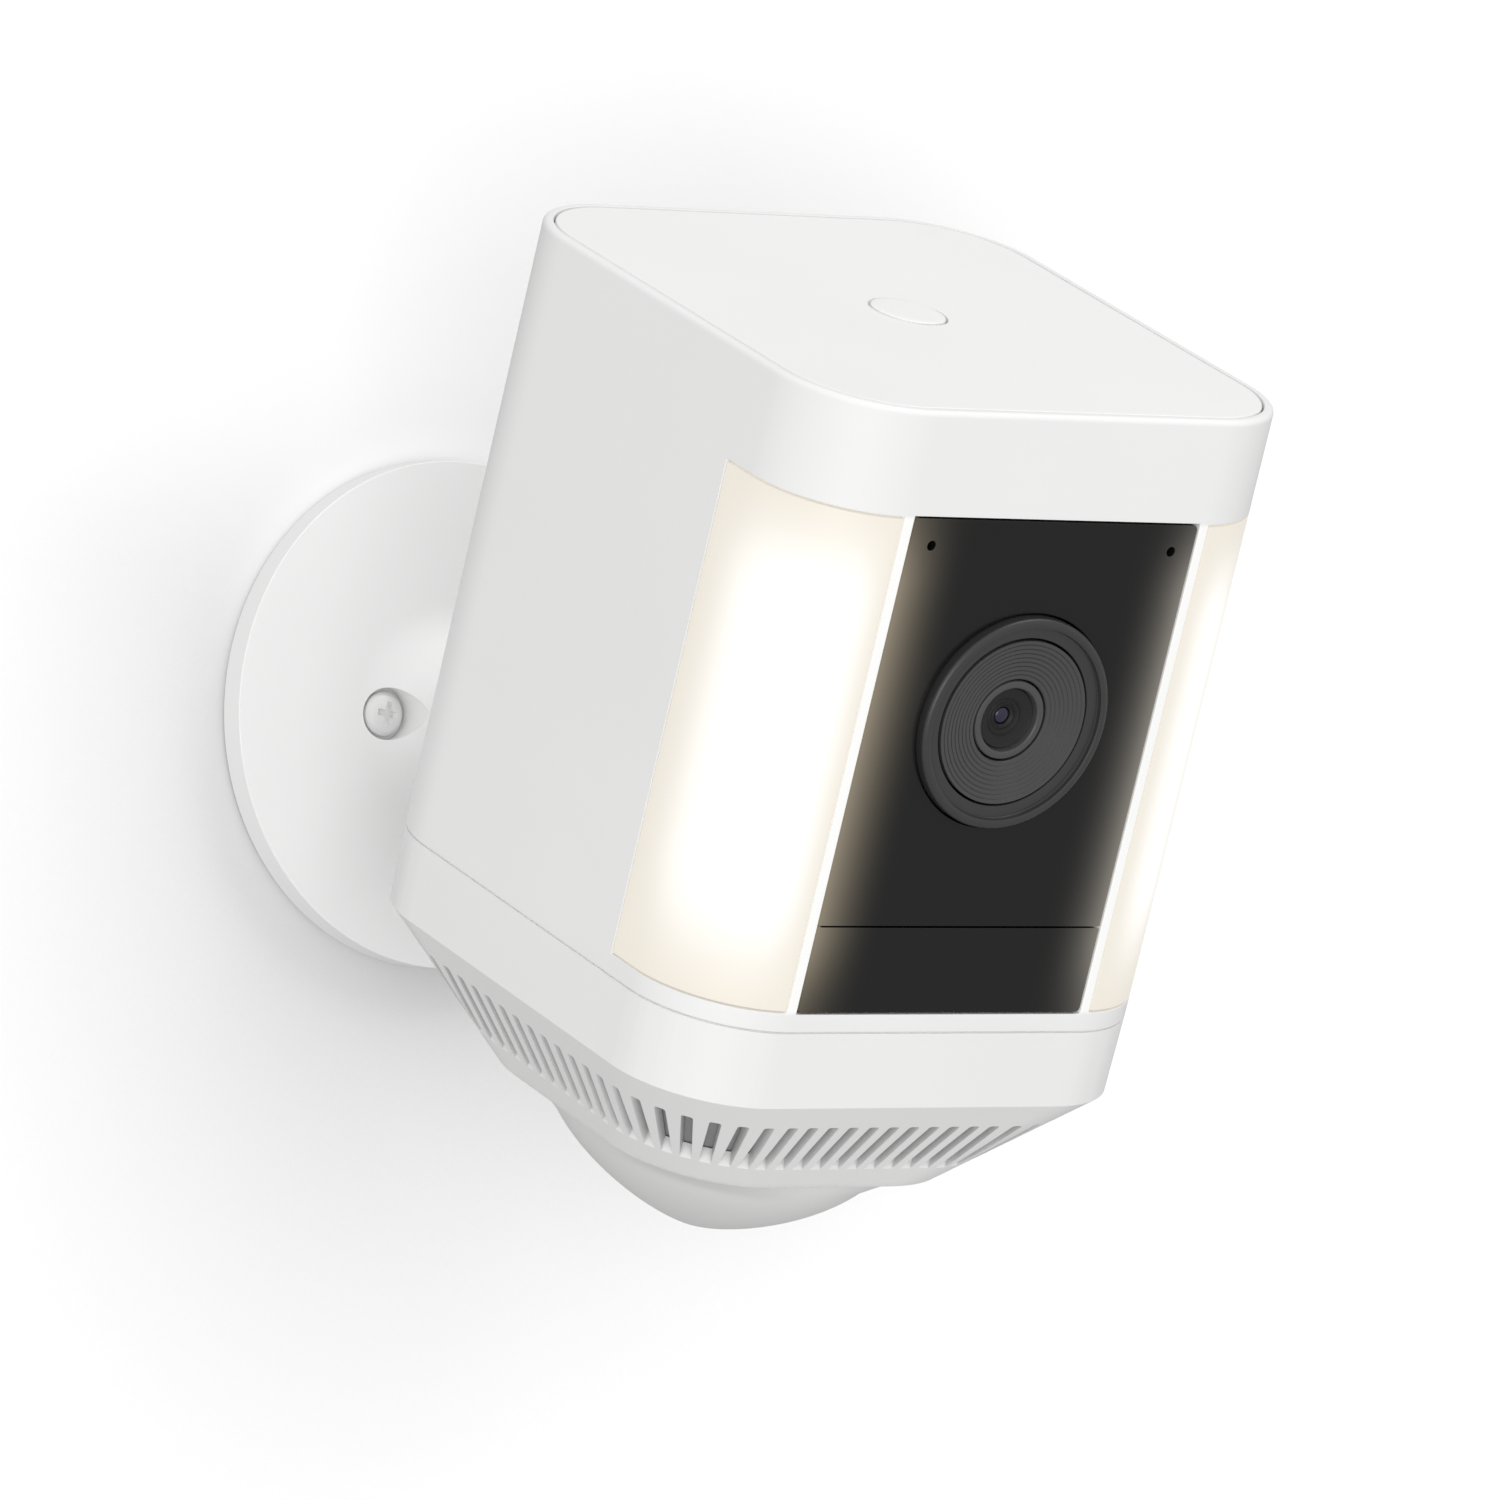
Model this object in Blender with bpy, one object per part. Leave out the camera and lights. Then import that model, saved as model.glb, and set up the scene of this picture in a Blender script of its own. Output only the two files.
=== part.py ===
"""Battery spotlight security camera on a round ball-joint wall mount.

World frame: origin at the centre of the wall disc's flat back face, +Y into the
wall, +Z up, the camera stands out toward -Y. Lengths below are millimetres and
angles are degrees; MM turns them into metres.

The camera head is drawn in its own head frame: x across, y from front to back,
z up, origin at the middle of the rounded-square body. The head frame hangs on
the ball joint and is pitched nose-down by REST_TILT in the rest pose.
"""
import bpy
import bmesh
from math import sin, cos, pi, sqrt, radians
from mathutils import Vector, Matrix

MM = 0.001
GAP = 0.3                     # clearance between neighbouring pieces

# ---- camera head ------------------------------------------------------------
HALF_W = 45.0                 # half width of the body
HALF_D = 47.19                # half depth of the body
CORNER_R = 17.8               # vertical corner radius
WALL = 2.2                    # housing wall
Z_TOP = 71.18                 # top face
Z_SEAM = -27.85               # seam between housing and bottom cover
CAP_INSET = 1.75              # groove round the top cap, in from the outer edge
BUTTON_R = 5.93
BUTTON_TOP = 71.4
BUTTON_TRAVEL = 0.8

# front: black camera panel in the middle, light panels wrapped round the corners
PANEL_HALF = 26.79
PANEL_Z0, PANEL_Z1 = -24.79, 54.76
PANEL_SEAM = -10.61
LIGHT_X = 28.49               # inner edge of each light
LIGHT_Y = -23.03              # rear edge of each light on the side wall
LIGHT_Z0, LIGHT_Z1 = -24.63, 54.54
MIC_X, MIC_Z, MIC_R = 22.5, 50.2, 0.8

# lens
LENS_Z = 22.7
BEZEL_R = 16.9
BEZEL_PROUD = 1.75
CONE_MOUTH_R = 13.1
LENS_RING_R = 6.3
LENS_DEPTH = 2.1              # lens ring below the front of the bezel

# bottom cover: upright band, then a slotted cone down to the motion dome
BAND_Z = -40.12
BAND = (44.84, 47.03, 17.9)   # half width, half depth, corner radius at BAND_Z
CONE_Z = -59.58
CONE = (29.85, 31.8, 18.47)
COVER_T = 2.4
PITCH_X, PITCH_Y = 3.82, 4.0  # vent slots: 11 front and back, 12 each flank, 7 each corner
SLOT_W = 1.9
SLOT_TOP, SLOT_END = 0.245, 0.60
DOME = (26.5, 29.7, 17.0)
DOME_DEPTH = 19.1
DOME_POWER = 1.485
COVER_TRAVEL = 45.0

# ---- ball joint and wall mount ------------------------------------------------
REST_TILT = 21.2
BALL_HEAD = Vector((0.0, 44.31, -11.36))  # ball centre in the head frame
BALL_H = 54.51                # ball centre above the wall plane
BALL_R = 8.5
STUD_R, SHAFT_R = 3.0, 4.5
CUP_FRONT, CUP_BACK, CUP_OUT = 8.8, 9.7, 11.7
PAD_IN, PAD_OUT, PAD_ANGLE = 8.8, 9.4, 30.0
LIP_ANGLE = 112.0             # from the closed end of the cup
NOSE = 5.5                    # cup nose past the ball centre
COLLAR_IN, COLLAR_OUT = 12.0, 17.5
DISC_R, DISC_T = 40.6, 4.5
FLARE_R0, FLARE_R = 17.8, 10.0
BOSS_TOP = 20.0
BORE_R = 4.8
FOOT_R = 7.1                  # stem foot, captive behind the boss
SCREW_CIRCLE = 12.8
SCREW_HEAD_R, SCREW_SHANK_R = 3.55, 1.9
COUNTERBORE_R = 4.2
WALL_SCREWS = (pi, pi / 3, -pi / 3)       # round the boss, seen from the front

# ---- battery -------------------------------------------------------------------
BAT_Y = 17.3
BAT_HX, BAT_HY = 21.4, 12.2
BAT_Z0, BAT_Z1 = -24.0, 44.0

for old in list(bpy.data.objects):
    bpy.data.objects.remove(old, do_unlink=True)


# ---- helpers ---------------------------------------------------------------------
def material(name, rgb, rough, metal=0.0, glow=0.0, clear=0.0):
    m = bpy.data.materials.get(name)
    if m:
        return m
    m = bpy.data.materials.new(name)
    m.use_nodes = True
    b = m.node_tree.nodes["Principled BSDF"]
    b.inputs["Base Color"].default_value = (*rgb, 1.0)
    b.inputs["Roughness"].default_value = rough
    b.inputs["Metallic"].default_value = metal
    if glow:
        b.inputs["Emission Color"].default_value = (1.0, 0.95, 0.86, 1.0)
        b.inputs["Emission Strength"].default_value = glow
    if clear:
        b.inputs["Transmission Weight"].default_value = clear
    return m


WHITE = material("white_shell", (0.86, 0.86, 0.86), 0.45)
OFFWHITE = material("inner_white", (0.78, 0.78, 0.76), 0.5)
LIGHT = material("light_diffuser", (0.97, 0.95, 0.9), 0.35, glow=1.5)
DOMEW = material("dome_white", (0.74, 0.74, 0.74), 0.4)
BLACK = material("black_panel", (0.02, 0.02, 0.02), 0.3)
DARK = material("dark_plastic", (0.05, 0.05, 0.055), 0.5)
GLASS = material("lens_glass", (0.02, 0.02, 0.03), 0.05, clear=0.2)
STEEL = material("steel", (0.6, 0.6, 0.6), 0.3, 1.0)
BOARD = material("circuit_board", (0.03, 0.16, 0.08), 0.5)
RUBBER = material("rubber", (0.06, 0.06, 0.06), 0.8)
PACK = material("battery_case", (0.12, 0.12, 0.13), 0.45)
CONTACT = material("contact_gold", (0.8, 0.62, 0.28), 0.3, 1.0)
RIBBON = material("ribbon_film", (0.55, 0.36, 0.12), 0.4)
SCREEN = material("vent_screen", (0.3, 0.3, 0.3), 0.7)
PAINT = material("painted_screw", (0.82, 0.82, 0.82), 0.35, 0.2)


def empty(name, at, parent=None, tilt=0.0):
    e = bpy.data.objects.new(name, None)
    bpy.context.scene.collection.objects.link(e)
    e.location = Vector(at) * MM
    e.rotation_euler = (radians(tilt), 0.0, 0.0)
    e.parent = parent
    return e


def finish(bm, name, mat, parent=None, at=(0, 0, 0), smooth=True):
    """Turns a bmesh in millimetres into a named object standing at AT."""
    for v in bm.verts:
        v.co *= MM
    bmesh.ops.remove_doubles(bm, verts=bm.verts, dist=1e-6)
    bmesh.ops.recalc_face_normals(bm, faces=bm.faces)
    if bm.calc_volume(signed=True) < 0:
        bmesh.ops.reverse_faces(bm, faces=bm.faces)
    me = bpy.data.meshes.new(name)
    bm.to_mesh(me)
    bm.free()
    if smooth:
        me.shade_smooth()
        me.set_sharp_from_angle(angle=radians(30))
    ob = bpy.data.objects.new(name, me)
    bpy.context.scene.collection.objects.link(ob)
    if mat:
        me.materials.append(mat)
    ob.parent = parent
    ob.location = Vector(at) * MM
    return ob


def rounded(a, b, r, nc=8):
    """Rounded rectangle, counter-clockwise, starting at the right-hand flank."""
    pts = []
    for cx, cy, a0 in ((a - r, b - r, 0), (-(a - r), b - r, 90),
                       (-(a - r), -(b - r), 180), (a - r, -(b - r), 270)):
        for i in range(nc + 1):
            t = radians(a0 + 90.0 * i / nc)
            pts.append((cx + r * cos(t), cy + r * sin(t)))
    return pts


def inset(d, nc=8):
    return rounded(HALF_W - d, HALF_D - d, CORNER_R - d, nc)


def skin(bm, loops, cyclic):
    """Joins equal rings of points; caps the ends unless the rings close on themselves."""
    rings = [[bm.verts.new(p) for p in loop] for loop in loops]
    n = len(rings[0])
    pairs = list(zip(rings, rings[1:])) + ([(rings[-1], rings[0])] if cyclic else [])
    for lo, hi in pairs:
        for i in range(n):
            j = (i + 1) % n
            bm.faces.new((lo[i], lo[j], hi[j], hi[i]))
    if not cyclic:
        bm.faces.new(list(reversed(rings[0])))
        bm.faces.new(rings[-1])
    return rings


def tube(name, levels, mat, **kw):
    """levels: (outline, z) in order round the wall of a hollow ring."""
    bm = bmesh.new()
    skin(bm, [[(x, y, z) for x, y in o] for o, z in levels], True)
    return finish(bm, name, mat, **kw)


def prism(name, outline, z0, z1, mat, axis="z", **kw):
    bm = bmesh.new()
    if axis == "z":
        loops = [[(x, y, z) for x, y in outline] for z in (z0, z1)]
    else:                                     # outline is (x, z), swept along y
        loops = [[(x, y, z) for x, z in outline] for y in (z0, z1)]
    skin(bm, loops, False)
    return finish(bm, name, mat, **kw)


def add_box(bm, lo, hi, turn=None):
    got = bmesh.ops.create_cube(bm, size=1.0)["verts"]
    c = [(p + q) / 2 for p, q in zip(lo, hi)]
    s = [q - p for p, q in zip(lo, hi)]
    for v in got:
        v.co = Vector((v.co.x * s[0], v.co.y * s[1], v.co.z * s[2]))
        if turn:
            v.co = turn @ v.co
        v.co += Vector(c)
    return got


def add_turned(bm, profile, n=32, centre=(0, 0, 0), axis="y", shape=None):
    """Turns a closed (r, t) profile about an axis through CENTRE; r = 0 is a pole.
    SHAPE may scale the radius with the angle, for a fluted grip."""
    cx, cy, cz = centre
    rings = []
    for r, t in profile:
        if r < 1e-6:
            p = (cx, cy + t, cz) if axis == "y" else (cx, cy, cz + t)
            rings.append([bm.verts.new(p)])
            continue
        ring = []
        for i in range(n):
            ang = 2 * pi * i / n
            rr = r * (shape(ang, r) if shape else 1.0)
            if axis == "y":
                p = (cx + rr * cos(ang), cy + t, cz + rr * sin(ang))
            else:
                p = (cx + rr * cos(ang), cy + rr * sin(ang), cz + t)
            ring.append(bm.verts.new(p))
        rings.append(ring)
    m = len(rings)
    for k in range(m):
        lo, hi = rings[k], rings[(k + 1) % m]
        if len(lo) == 1 and len(hi) == 1:
            continue
        for i in range(n):
            j = (i + 1) % n
            if len(lo) == 1:
                bm.faces.new((lo[0], hi[j], hi[i]))
            elif len(hi) == 1:
                bm.faces.new((lo[i], lo[j], hi[0]))
            else:
                bm.faces.new((lo[i], lo[j], hi[j], hi[i]))


def turned(name, profile, mat, n=32, centre=(0, 0, 0), axis="y", shape=None, **kw):
    bm = bmesh.new()
    add_turned(bm, profile, n, centre, axis, shape)
    return finish(bm, name, mat, **kw)


def arc(cx, cy, r, a0, a1, n):
    return [(cx + r * cos(radians(a0 + (a1 - a0) * i / n)),
             cy + r * sin(radians(a0 + (a1 - a0) * i / n))) for i in range(n + 1)]


def cut(target, tool, how="DIFFERENCE"):
    """A live Boolean with the EXACT solver; the tool is only a guide."""
    tool.hide_render = True
    tool.display_type = "WIRE"
    mod = target.modifiers.new(tool.name, "BOOLEAN")
    mod.operation = how
    mod.solver = "EXACT"
    mod.object = tool
    return mod


# ---- joint frames ------------------------------------------------------------------
stem_axis = empty("stem_axis", (0, 0, 0))
pan_axis = empty("pan_axis", (0, -BALL_H, 0), stem_axis)
tilt_axis = empty("tilt_axis", (0, 0, 0), pan_axis, REST_TILT)
HEAD = -BALL_HEAD                              # head frame origin seen from the ball
head = dict(parent=tilt_axis, at=HEAD)
collar_axis = empty("collar_axis", (0, 0, 0), tilt_axis)
button_axis = empty("button_axis", HEAD + Vector((0, 0, BUTTON_TOP)), tilt_axis)
cover_axis = empty("cover_axis", HEAD + Vector((0, 0, Z_SEAM)), tilt_axis)
battery_axis = empty("battery_axis", HEAD + Vector((0, BAT_Y, BAT_Z0)), tilt_axis)
cover = dict(parent=cover_axis, at=(0, 0, -Z_SEAM))
battery = dict(parent=battery_axis, at=(0, -BAT_Y, -BAT_Z0))

# ---- wall mount ----------------------------------------------------------------------
flare = arc(FLARE_R0, DISC_T + FLARE_R, FLARE_R, 270, 180, 5)
BOSS_R = FLARE_R0 - FLARE_R
base_profile = ([(38.6, 0), (DISC_R - 0.4, 0), (DISC_R, 0.4), (DISC_R, DISC_T - 0.4),
                 (DISC_R - 0.4, DISC_T)] + flare
                + [(BOSS_R, BOSS_TOP - 0.5), (BOSS_R - 0.5, BOSS_TOP), (BORE_R, BOSS_TOP),
                   (BORE_R, 7.0), (FOOT_R + GAP, 7.0), (FOOT_R + GAP, 1.8), (38.6, 1.8)])
mount_base = turned("mount_base", [(r, -h) for r, h in base_profile], WHITE, n=40)
tool = bmesh.new()
for k in range(3):
    x, z = SCREW_CIRCLE * cos(WALL_SCREWS[k]), SCREW_CIRCLE * sin(WALL_SCREWS[k])
    add_turned(tool, [(0, -1.0), (2.3, -1.0), (2.3, -3.3), (COUNTERBORE_R, -3.3),
                      (COUNTERBORE_R, -26.0), (0, -26.0)], 16, (x, 0, z))
cut(mount_base, finish(tool, "mount_holes", None))

wall_plate = turned("wall_plate", [(0, 0), (38.3, 0), (38.3, -1.5), (0, -1.5)], STEEL, n=36)
tool = bmesh.new()
for k in range(3):
    x, z = SCREW_CIRCLE * cos(WALL_SCREWS[k]), SCREW_CIRCLE * sin(WALL_SCREWS[k])
    add_turned(tool, [(0, 1), (2.3, 1), (2.3, -2.5), (0, -2.5)], 12, (x, 0, z))
cut(wall_plate, finish(tool, "plate_holes", None))

screw = [(0, -5.6), (1.7, -5.5), (2.9, -5.05), (SCREW_HEAD_R, -4.3), (SCREW_HEAD_R, -3.6),
         (SCREW_SHANK_R, -3.6), (SCREW_SHANK_R, 17.5), (0, 21.0)]
for k, side in enumerate(("left", "upper", "lower")):
    turned("wall_screw_" + side, screw, PAINT, n=16,
           at=(SCREW_CIRCLE * cos(WALL_SCREWS[k]), 0, SCREW_CIRCLE * sin(WALL_SCREWS[k])))

joint_y = sqrt(BALL_R ** 2 - STUD_R ** 2)
stem_profile = [(0, 1.9), (FOOT_R, 1.9), (FOOT_R, 4.2), (SHAFT_R, 4.2), (SHAFT_R, BALL_H - 26.0),
                (STUD_R, BALL_H - 18.0), (STUD_R, BALL_H - joint_y)]
for i in range(1, 9):
    a = radians(20.67 + (180 - 20.67) * i / 8)
    stem_profile.append((BALL_R * sin(a) if i < 8 else 0, BALL_H - BALL_R * cos(a)))
ball_stem = turned("ball_stem", [(r, -h) for r, h in stem_profile], STEEL, n=24,
                   parent=stem_axis)
turned("stem_washer", [(BORE_R, -4.5), (FOOT_R, -4.5), (FOOT_R, -6.7), (BORE_R, -6.7)], RUBBER,
       n=24, parent=stem_axis)

# ---- friction pad between the ball's end and the cup ------------------------------------
pad = arc(0, 0, PAD_OUT, 270, 270 + PAD_ANGLE, 3) + arc(0, 0, PAD_IN, 270 + PAD_ANGLE, 270, 3)
pad[0], pad[-1] = (0, -PAD_OUT), (0, -PAD_IN)
friction_pad = turned("friction_pad", pad, RUBBER, n=24, parent=pan_axis)

# ---- ball socket in the back wall -------------------------------------------------------
CY, CZ = BALL_HEAD.y, BALL_HEAD.z
cup = [(0, -CUP_OUT)] + arc(0, 0, CUP_OUT, -70, -10, 3) + [(CUP_OUT, NOSE), (10.9, NOSE)]
lip = [(CUP_FRONT * sin(radians(a)), -CUP_FRONT * cos(radians(a)))
       for a in (LIP_ANGLE, 100, 88, 76)]
deep = [(CUP_BACK * sin(radians(a)), -CUP_BACK * cos(radians(a))) for a in (74, 56, 38, 19)]
socket_cup = turned("socket_cup", cup + lip + deep + [(0, -CUP_BACK)], DARK, n=24,
                    parent=tilt_axis)
flange = prism("socket_flange", [(x, z + 2.2) for x, z in rounded(19.0, 16.4, 5.0, 3)],
               -4.0, -1.5, None, axis="y", parent=tilt_axis)
hole = turned("socket_flange_hole", [(0, -5), (11.0, -5), (11.0, 0), (0, 0)], None, n=24,
              parent=tilt_axis)
cut(flange, hole)
cut(socket_cup, flange, "UNION")
SCREWS = [(16.0, 6.0), (-16.0, 6.0), (15.5, -11.0), (-15.5, -11.0)]
tool = bmesh.new()
for x, z in SCREWS:
    add_turned(tool, [(0, -6), (1.5, -6), (1.5, 0), (0, 0)], 12, (x, 0, z))
cut(socket_cup, finish(tool, "flange_holes", None, parent=tilt_axis))
for k, (x, z) in enumerate(SCREWS):
    turned("socket_screw_%d" % (k + 1),
           [(0, -6.0), (2.2, -5.8), (2.4, -5.3), (2.4, -4.3), (1.2, -4.3), (1.2, 1.3), (0, 1.9)],
           STEEL, n=14, parent=tilt_axis, at=(x, 0, z))

turned("locking_collar", [(COLLAR_IN, 3.35), (COLLAR_OUT - 0.6, 3.35), (COLLAR_OUT, 3.95),
                          (COLLAR_OUT, 6.0), (COLLAR_OUT - 0.8, 6.8), (COLLAR_IN + 1.4, 6.8),
                          (COLLAR_IN, 5.6)], DARK, n=48, parent=collar_axis,
       shape=lambda ang, r: 0.96 if r > 16 and round(ang / (2 * pi) * 48) % 4 == 0 else 1.0)

# ---- main housing -------------------------------------------------------------------------
housing = tube("main_housing", [
    (inset(0), Z_SEAM + 0.15), (inset(0), Z_TOP - 0.5), (inset(0.5), Z_TOP),
    (inset(CAP_INSET - 0.15), Z_TOP), (inset(CAP_INSET - 0.15), 68.9), (inset(4.0), 68.9),
    (inset(4.0), 66.9), (inset(WALL), 65.0), (inset(WALL), Z_SEAM + 0.15)], WHITE, **head)
back_pad = prism("housing_back_pad", [(x, z + CZ + 2.2) for x, z in rounded(19.0, 16.4, 5.0, 3)],
                 CY - 1.2, 45.6, None, axis="y", **head)
cut(housing, back_pad, "UNION")
tool = bmesh.new()
for s in (-1, 1):
    add_box(tool, (min(s * LIGHT_X, s * 60), -60, LIGHT_Z0), (max(s * LIGHT_X, s * 60), LIGHT_Y, LIGHT_Z1))
add_box(tool, (-PANEL_HALF, -60, PANEL_Z0), (PANEL_HALF, -40, PANEL_Z1))
add_turned(tool, [(0, CY - 8), (12.0, CY - 8), (12.0, 52), (0, 52)], 32, (0, 0, CZ))
for x, z in SCREWS:
    add_turned(tool, [(0, CY - 3), (1.5, CY - 3), (1.5, CY + 2.2), (0, CY + 2.2)], 12, (x, 0, z + CZ))
cut(housing, finish(tool, "housing_openings", None, **head))

# ---- top cap and button ----------------------------------------------------------------------
top_cap = prism("top_cap", inset(CAP_INSET + 0.15), 69.2, Z_TOP, WHITE, **head)
tool = bmesh.new()
add_turned(tool, [(0, 60), (BUTTON_R + GAP, 60), (BUTTON_R + GAP, 80), (0, 80)], 32, axis="z")
cut(top_cap, finish(tool, "cap_hole", None, **head))
turned("setup_button", [(0, 0), (BUTTON_R - 0.4, 0), (BUTTON_R, -0.4), (BUTTON_R, -2.6),
                        (7.4, -2.6), (7.4, -3.8), (1.5, -3.8), (1.5, -5.9), (0, -5.9)],
       WHITE, n=32, axis="z", parent=button_axis)
bm = bmesh.new()
add_box(bm, (-11, -9, 61.0), (11, 9, 62.4))
button_board = finish(bm, "button_board", BOARD, smooth=False, **head)
bm = bmesh.new()
add_box(bm, (-3, -3, 62.0), (3, 3, 64.3))
cut(button_board, finish(bm, "switch_block", None, **head), "UNION")

# ---- front: panel, window, lights -------------------------------------------------------------
def slab(name, x0, x1, z0, z1, mat, back=-45.0):
    bm = bmesh.new()
    add_box(bm, (x0, -HALF_D, z0), (x1, back, z1))
    return finish(bm, name, mat, smooth=False, **head)


panel = slab("camera_panel", -PANEL_HALF + GAP, PANEL_HALF - GAP, PANEL_SEAM + 0.15,
             PANEL_Z1 - GAP, BLACK)
tool = bmesh.new()
add_turned(tool, [(0, -50), (BEZEL_R + GAP, -50), (BEZEL_R + GAP, -40), (0, -40)], 40, (0, 0, LENS_Z))
for s in (-1, 1):
    add_turned(tool, [(0, -50), (MIC_R, -50), (MIC_R, -40), (0, -40)], 10, (s * MIC_X, 0, MIC_Z))
cut(panel, finish(tool, "panel_holes", None, **head))
slab("sensor_window", -PANEL_HALF + GAP, PANEL_HALF - GAP, PANEL_Z0 + GAP, PANEL_SEAM - 0.15, BLACK)


def corner_strip(side, d, x_in, y_in, nc=8):
    """The part of the inset outline between the divider and the side wall, one corner."""
    r = CORNER_R - d
    cx, cy = HALF_W - CORNER_R, -(HALF_D - CORNER_R)
    pts = [(HALF_W - d, y_in)] if y_in > cy else []
    pts += [(cx + r * cos(radians(a)), cy + r * sin(radians(a)))
            for a in [0 - 90.0 * i / nc for i in range(nc + 1)] if cx + r * cos(radians(a)) > x_in + 0.2]
    pts.append((x_in, cy - sqrt(max(r * r - (x_in - cx) ** 2, 0)) if x_in > cx else -(HALF_D - d)))
    return [(side * x, y) for x, y in pts]


for s, side in ((-1, "left"), (1, "right")):
    x_in, y_in = LIGHT_X + GAP, LIGHT_Y - GAP
    outer = corner_strip(s, 0.0, x_in, y_in)
    inner = corner_strip(s, WALL, x_in, y_in)
    prism(side + "_light_diffuser", outer + list(reversed(inner)), LIGHT_Z0 + GAP, LIGHT_Z1 - GAP,
          LIGHT, **head)
    # reflector: a curved sheet closing the light box from behind
    path = [(28.9, -43.6), (28.9, -37.5), (29.6, -32.6), (31.6, -28.4), (34.8, -25.4),
            (38.4, -24.0), (41.6, -23.8)]
    back = [(27.8, -43.6), (27.8, -37.4), (28.5, -32.2), (30.7, -27.6), (34.2, -24.3),
            (38.2, -22.8), (41.6, -22.6)]
    prism(side + "_reflector", [(s * x, y) for x, y in path + list(reversed(back))], -23.6, 53.6,
          OFFWHITE, **head)
    # light board: a strip across the corner with five emitters
    turn = Matrix.Rotation(radians(s * 45.0), 3, "Z")
    bm = bmesh.new()
    add_box(bm, (s * 34.4 - 4.4, -31.4 - 0.6, -20.5), (s * 34.4 + 4.4, -31.4 + 0.6, 50.5), turn)
    board = finish(bm, side + "_light_board", BOARD, smooth=False, **head)
    bm = bmesh.new()
    n = Vector((s * 0.7071, -0.7071, 0))
    for i in range(5):
        c = Vector((s * 34.4, -31.4, -12.0 + 13.5 * i)) + n * 0.9
        add_box(bm, (c.x - 1.75, c.y - 0.8, c.z - 1.75), (c.x + 1.75, c.y + 0.8, c.z + 1.75), turn)
    cut(board, finish(bm, side + "_emitters", None, **head), "UNION")

# ---- lens stack -------------------------------------------------------------------------------
lens = dict(parent=tilt_axis, at=HEAD + Vector((0, 0, LENS_Z)))
F = -HALF_D - BEZEL_PROUD
turned("lens_bezel", [(BEZEL_R, -43.6), (BEZEL_R, F + 0.7), (BEZEL_R - 0.6, F + 0.1),
                      (BEZEL_R - 1.2, F), (BEZEL_R - 2.2, F + 0.15), (13.4, F + 1.1),
                      (13.4, -43.6)], DARK, n=40, **lens)
turned("lens_baffle", [(CONE_MOUTH_R, F + 1.1), (LENS_RING_R + GAP, F + LENS_DEPTH),
                       (LENS_RING_R + GAP, F + LENS_DEPTH + 1.2), (CONE_MOUTH_R, F + 2.4)],
       DARK, n=40, **lens)
turned("lens_ring", [(LENS_RING_R, F + LENS_DEPTH + 0.3), (LENS_RING_R - 0.4, F + LENS_DEPTH),
                     (5.3, F + LENS_DEPTH), (4.8, F + LENS_DEPTH + 0.8),
                     (4.8, F + LENS_DEPTH + 2.6), (LENS_RING_R, F + LENS_DEPTH + 2.6)],
       DARK, n=28, **lens)
G = F + LENS_DEPTH + 1.0
turned("lens_glass", [(0, G)] + [(4.5 * sin(radians(a)), G + 1.0 * (1 - cos(radians(a))))
                                 for a in (30, 60, 90)] + [(4.5, G + 1.6), (0, G + 1.6)],
       GLASS, n=24, **lens)
turned("lens_barrel", [(0, -43.6), (6.4, -43.6), (6.4, -34.0), (8.4, -34.0), (8.4, -26.4), (0, -26.4)],
       DARK, n=24, **lens)
bm = bmesh.new()
add_box(bm, (-11, -25.9, LENS_Z - 11), (11, -24.5, LENS_Z + 11))
finish(bm, "image_sensor_board", BOARD, smooth=False, **head)

# ---- inside the housing -------------------------------------------------------------------------
U = [(-26.2, -40.0), (-24.8, -40.0), (-24.8, -20.4), (24.8, -20.4), (24.8, -40.0), (26.2, -40.0),
     (26.2, -19.0), (-26.2, -19.0)]
chassis = prism("inner_chassis", U, -23.8, 60.0, DARK, smooth=False, **head)
bm = bmesh.new()
add_box(bm, (-14, -30, 42), (14, -10, 54))
add_box(bm, (-14, -30, -6), (14, -10, 6))
cut(chassis, finish(bm, "chassis_windows", None, **head))

bm = bmesh.new()
add_box(bm, (-24, 0.8, -20), (24, 2.4, 58))
main_board = finish(bm, "main_board", BOARD, smooth=False, **head)
bm = bmesh.new()
for lo, hi in (((-8, -1.2, 18), (8, 1.2, 34)), ((-20, -0.8, 38), (-10, 1.2, 50)),
               ((8, -1.6, 40), (20, 1.2, 52)), ((-18, -3.0, -14), (-8, 1.2, 2)),
               ((6, -2.2, -12), (18, 1.2, -2))):
    add_box(bm, lo, hi)
cut(main_board, finish(bm, "board_chips", None, **head), "UNION")

bm = bmesh.new()
line = [(-24.2, 10.9), (-24.2, 3.4), (-23.0, 1.2), (-20.8, 0.3), (-4.6, 0.3), (-2.2, 1.0), (-0.2, 2.4), (0.2, 5.0),
        (0.2, 12.0)]
off = [(-23.9, 10.9), (-23.9, 3.5), (-22.8, 1.5), (-20.7, 0.6), (-4.7, 0.6), (-2.4, 1.3), (-0.5, 2.6), (-0.1, 5.1),
       (-0.1, 12.0)]
skin(bm, [[(x, y, z) for y, z in line + list(reversed(off))] for x in (-4.0, 4.0)], False)
finish(bm, "camera_ribbon", RIBBON, smooth=False, **head)

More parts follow.
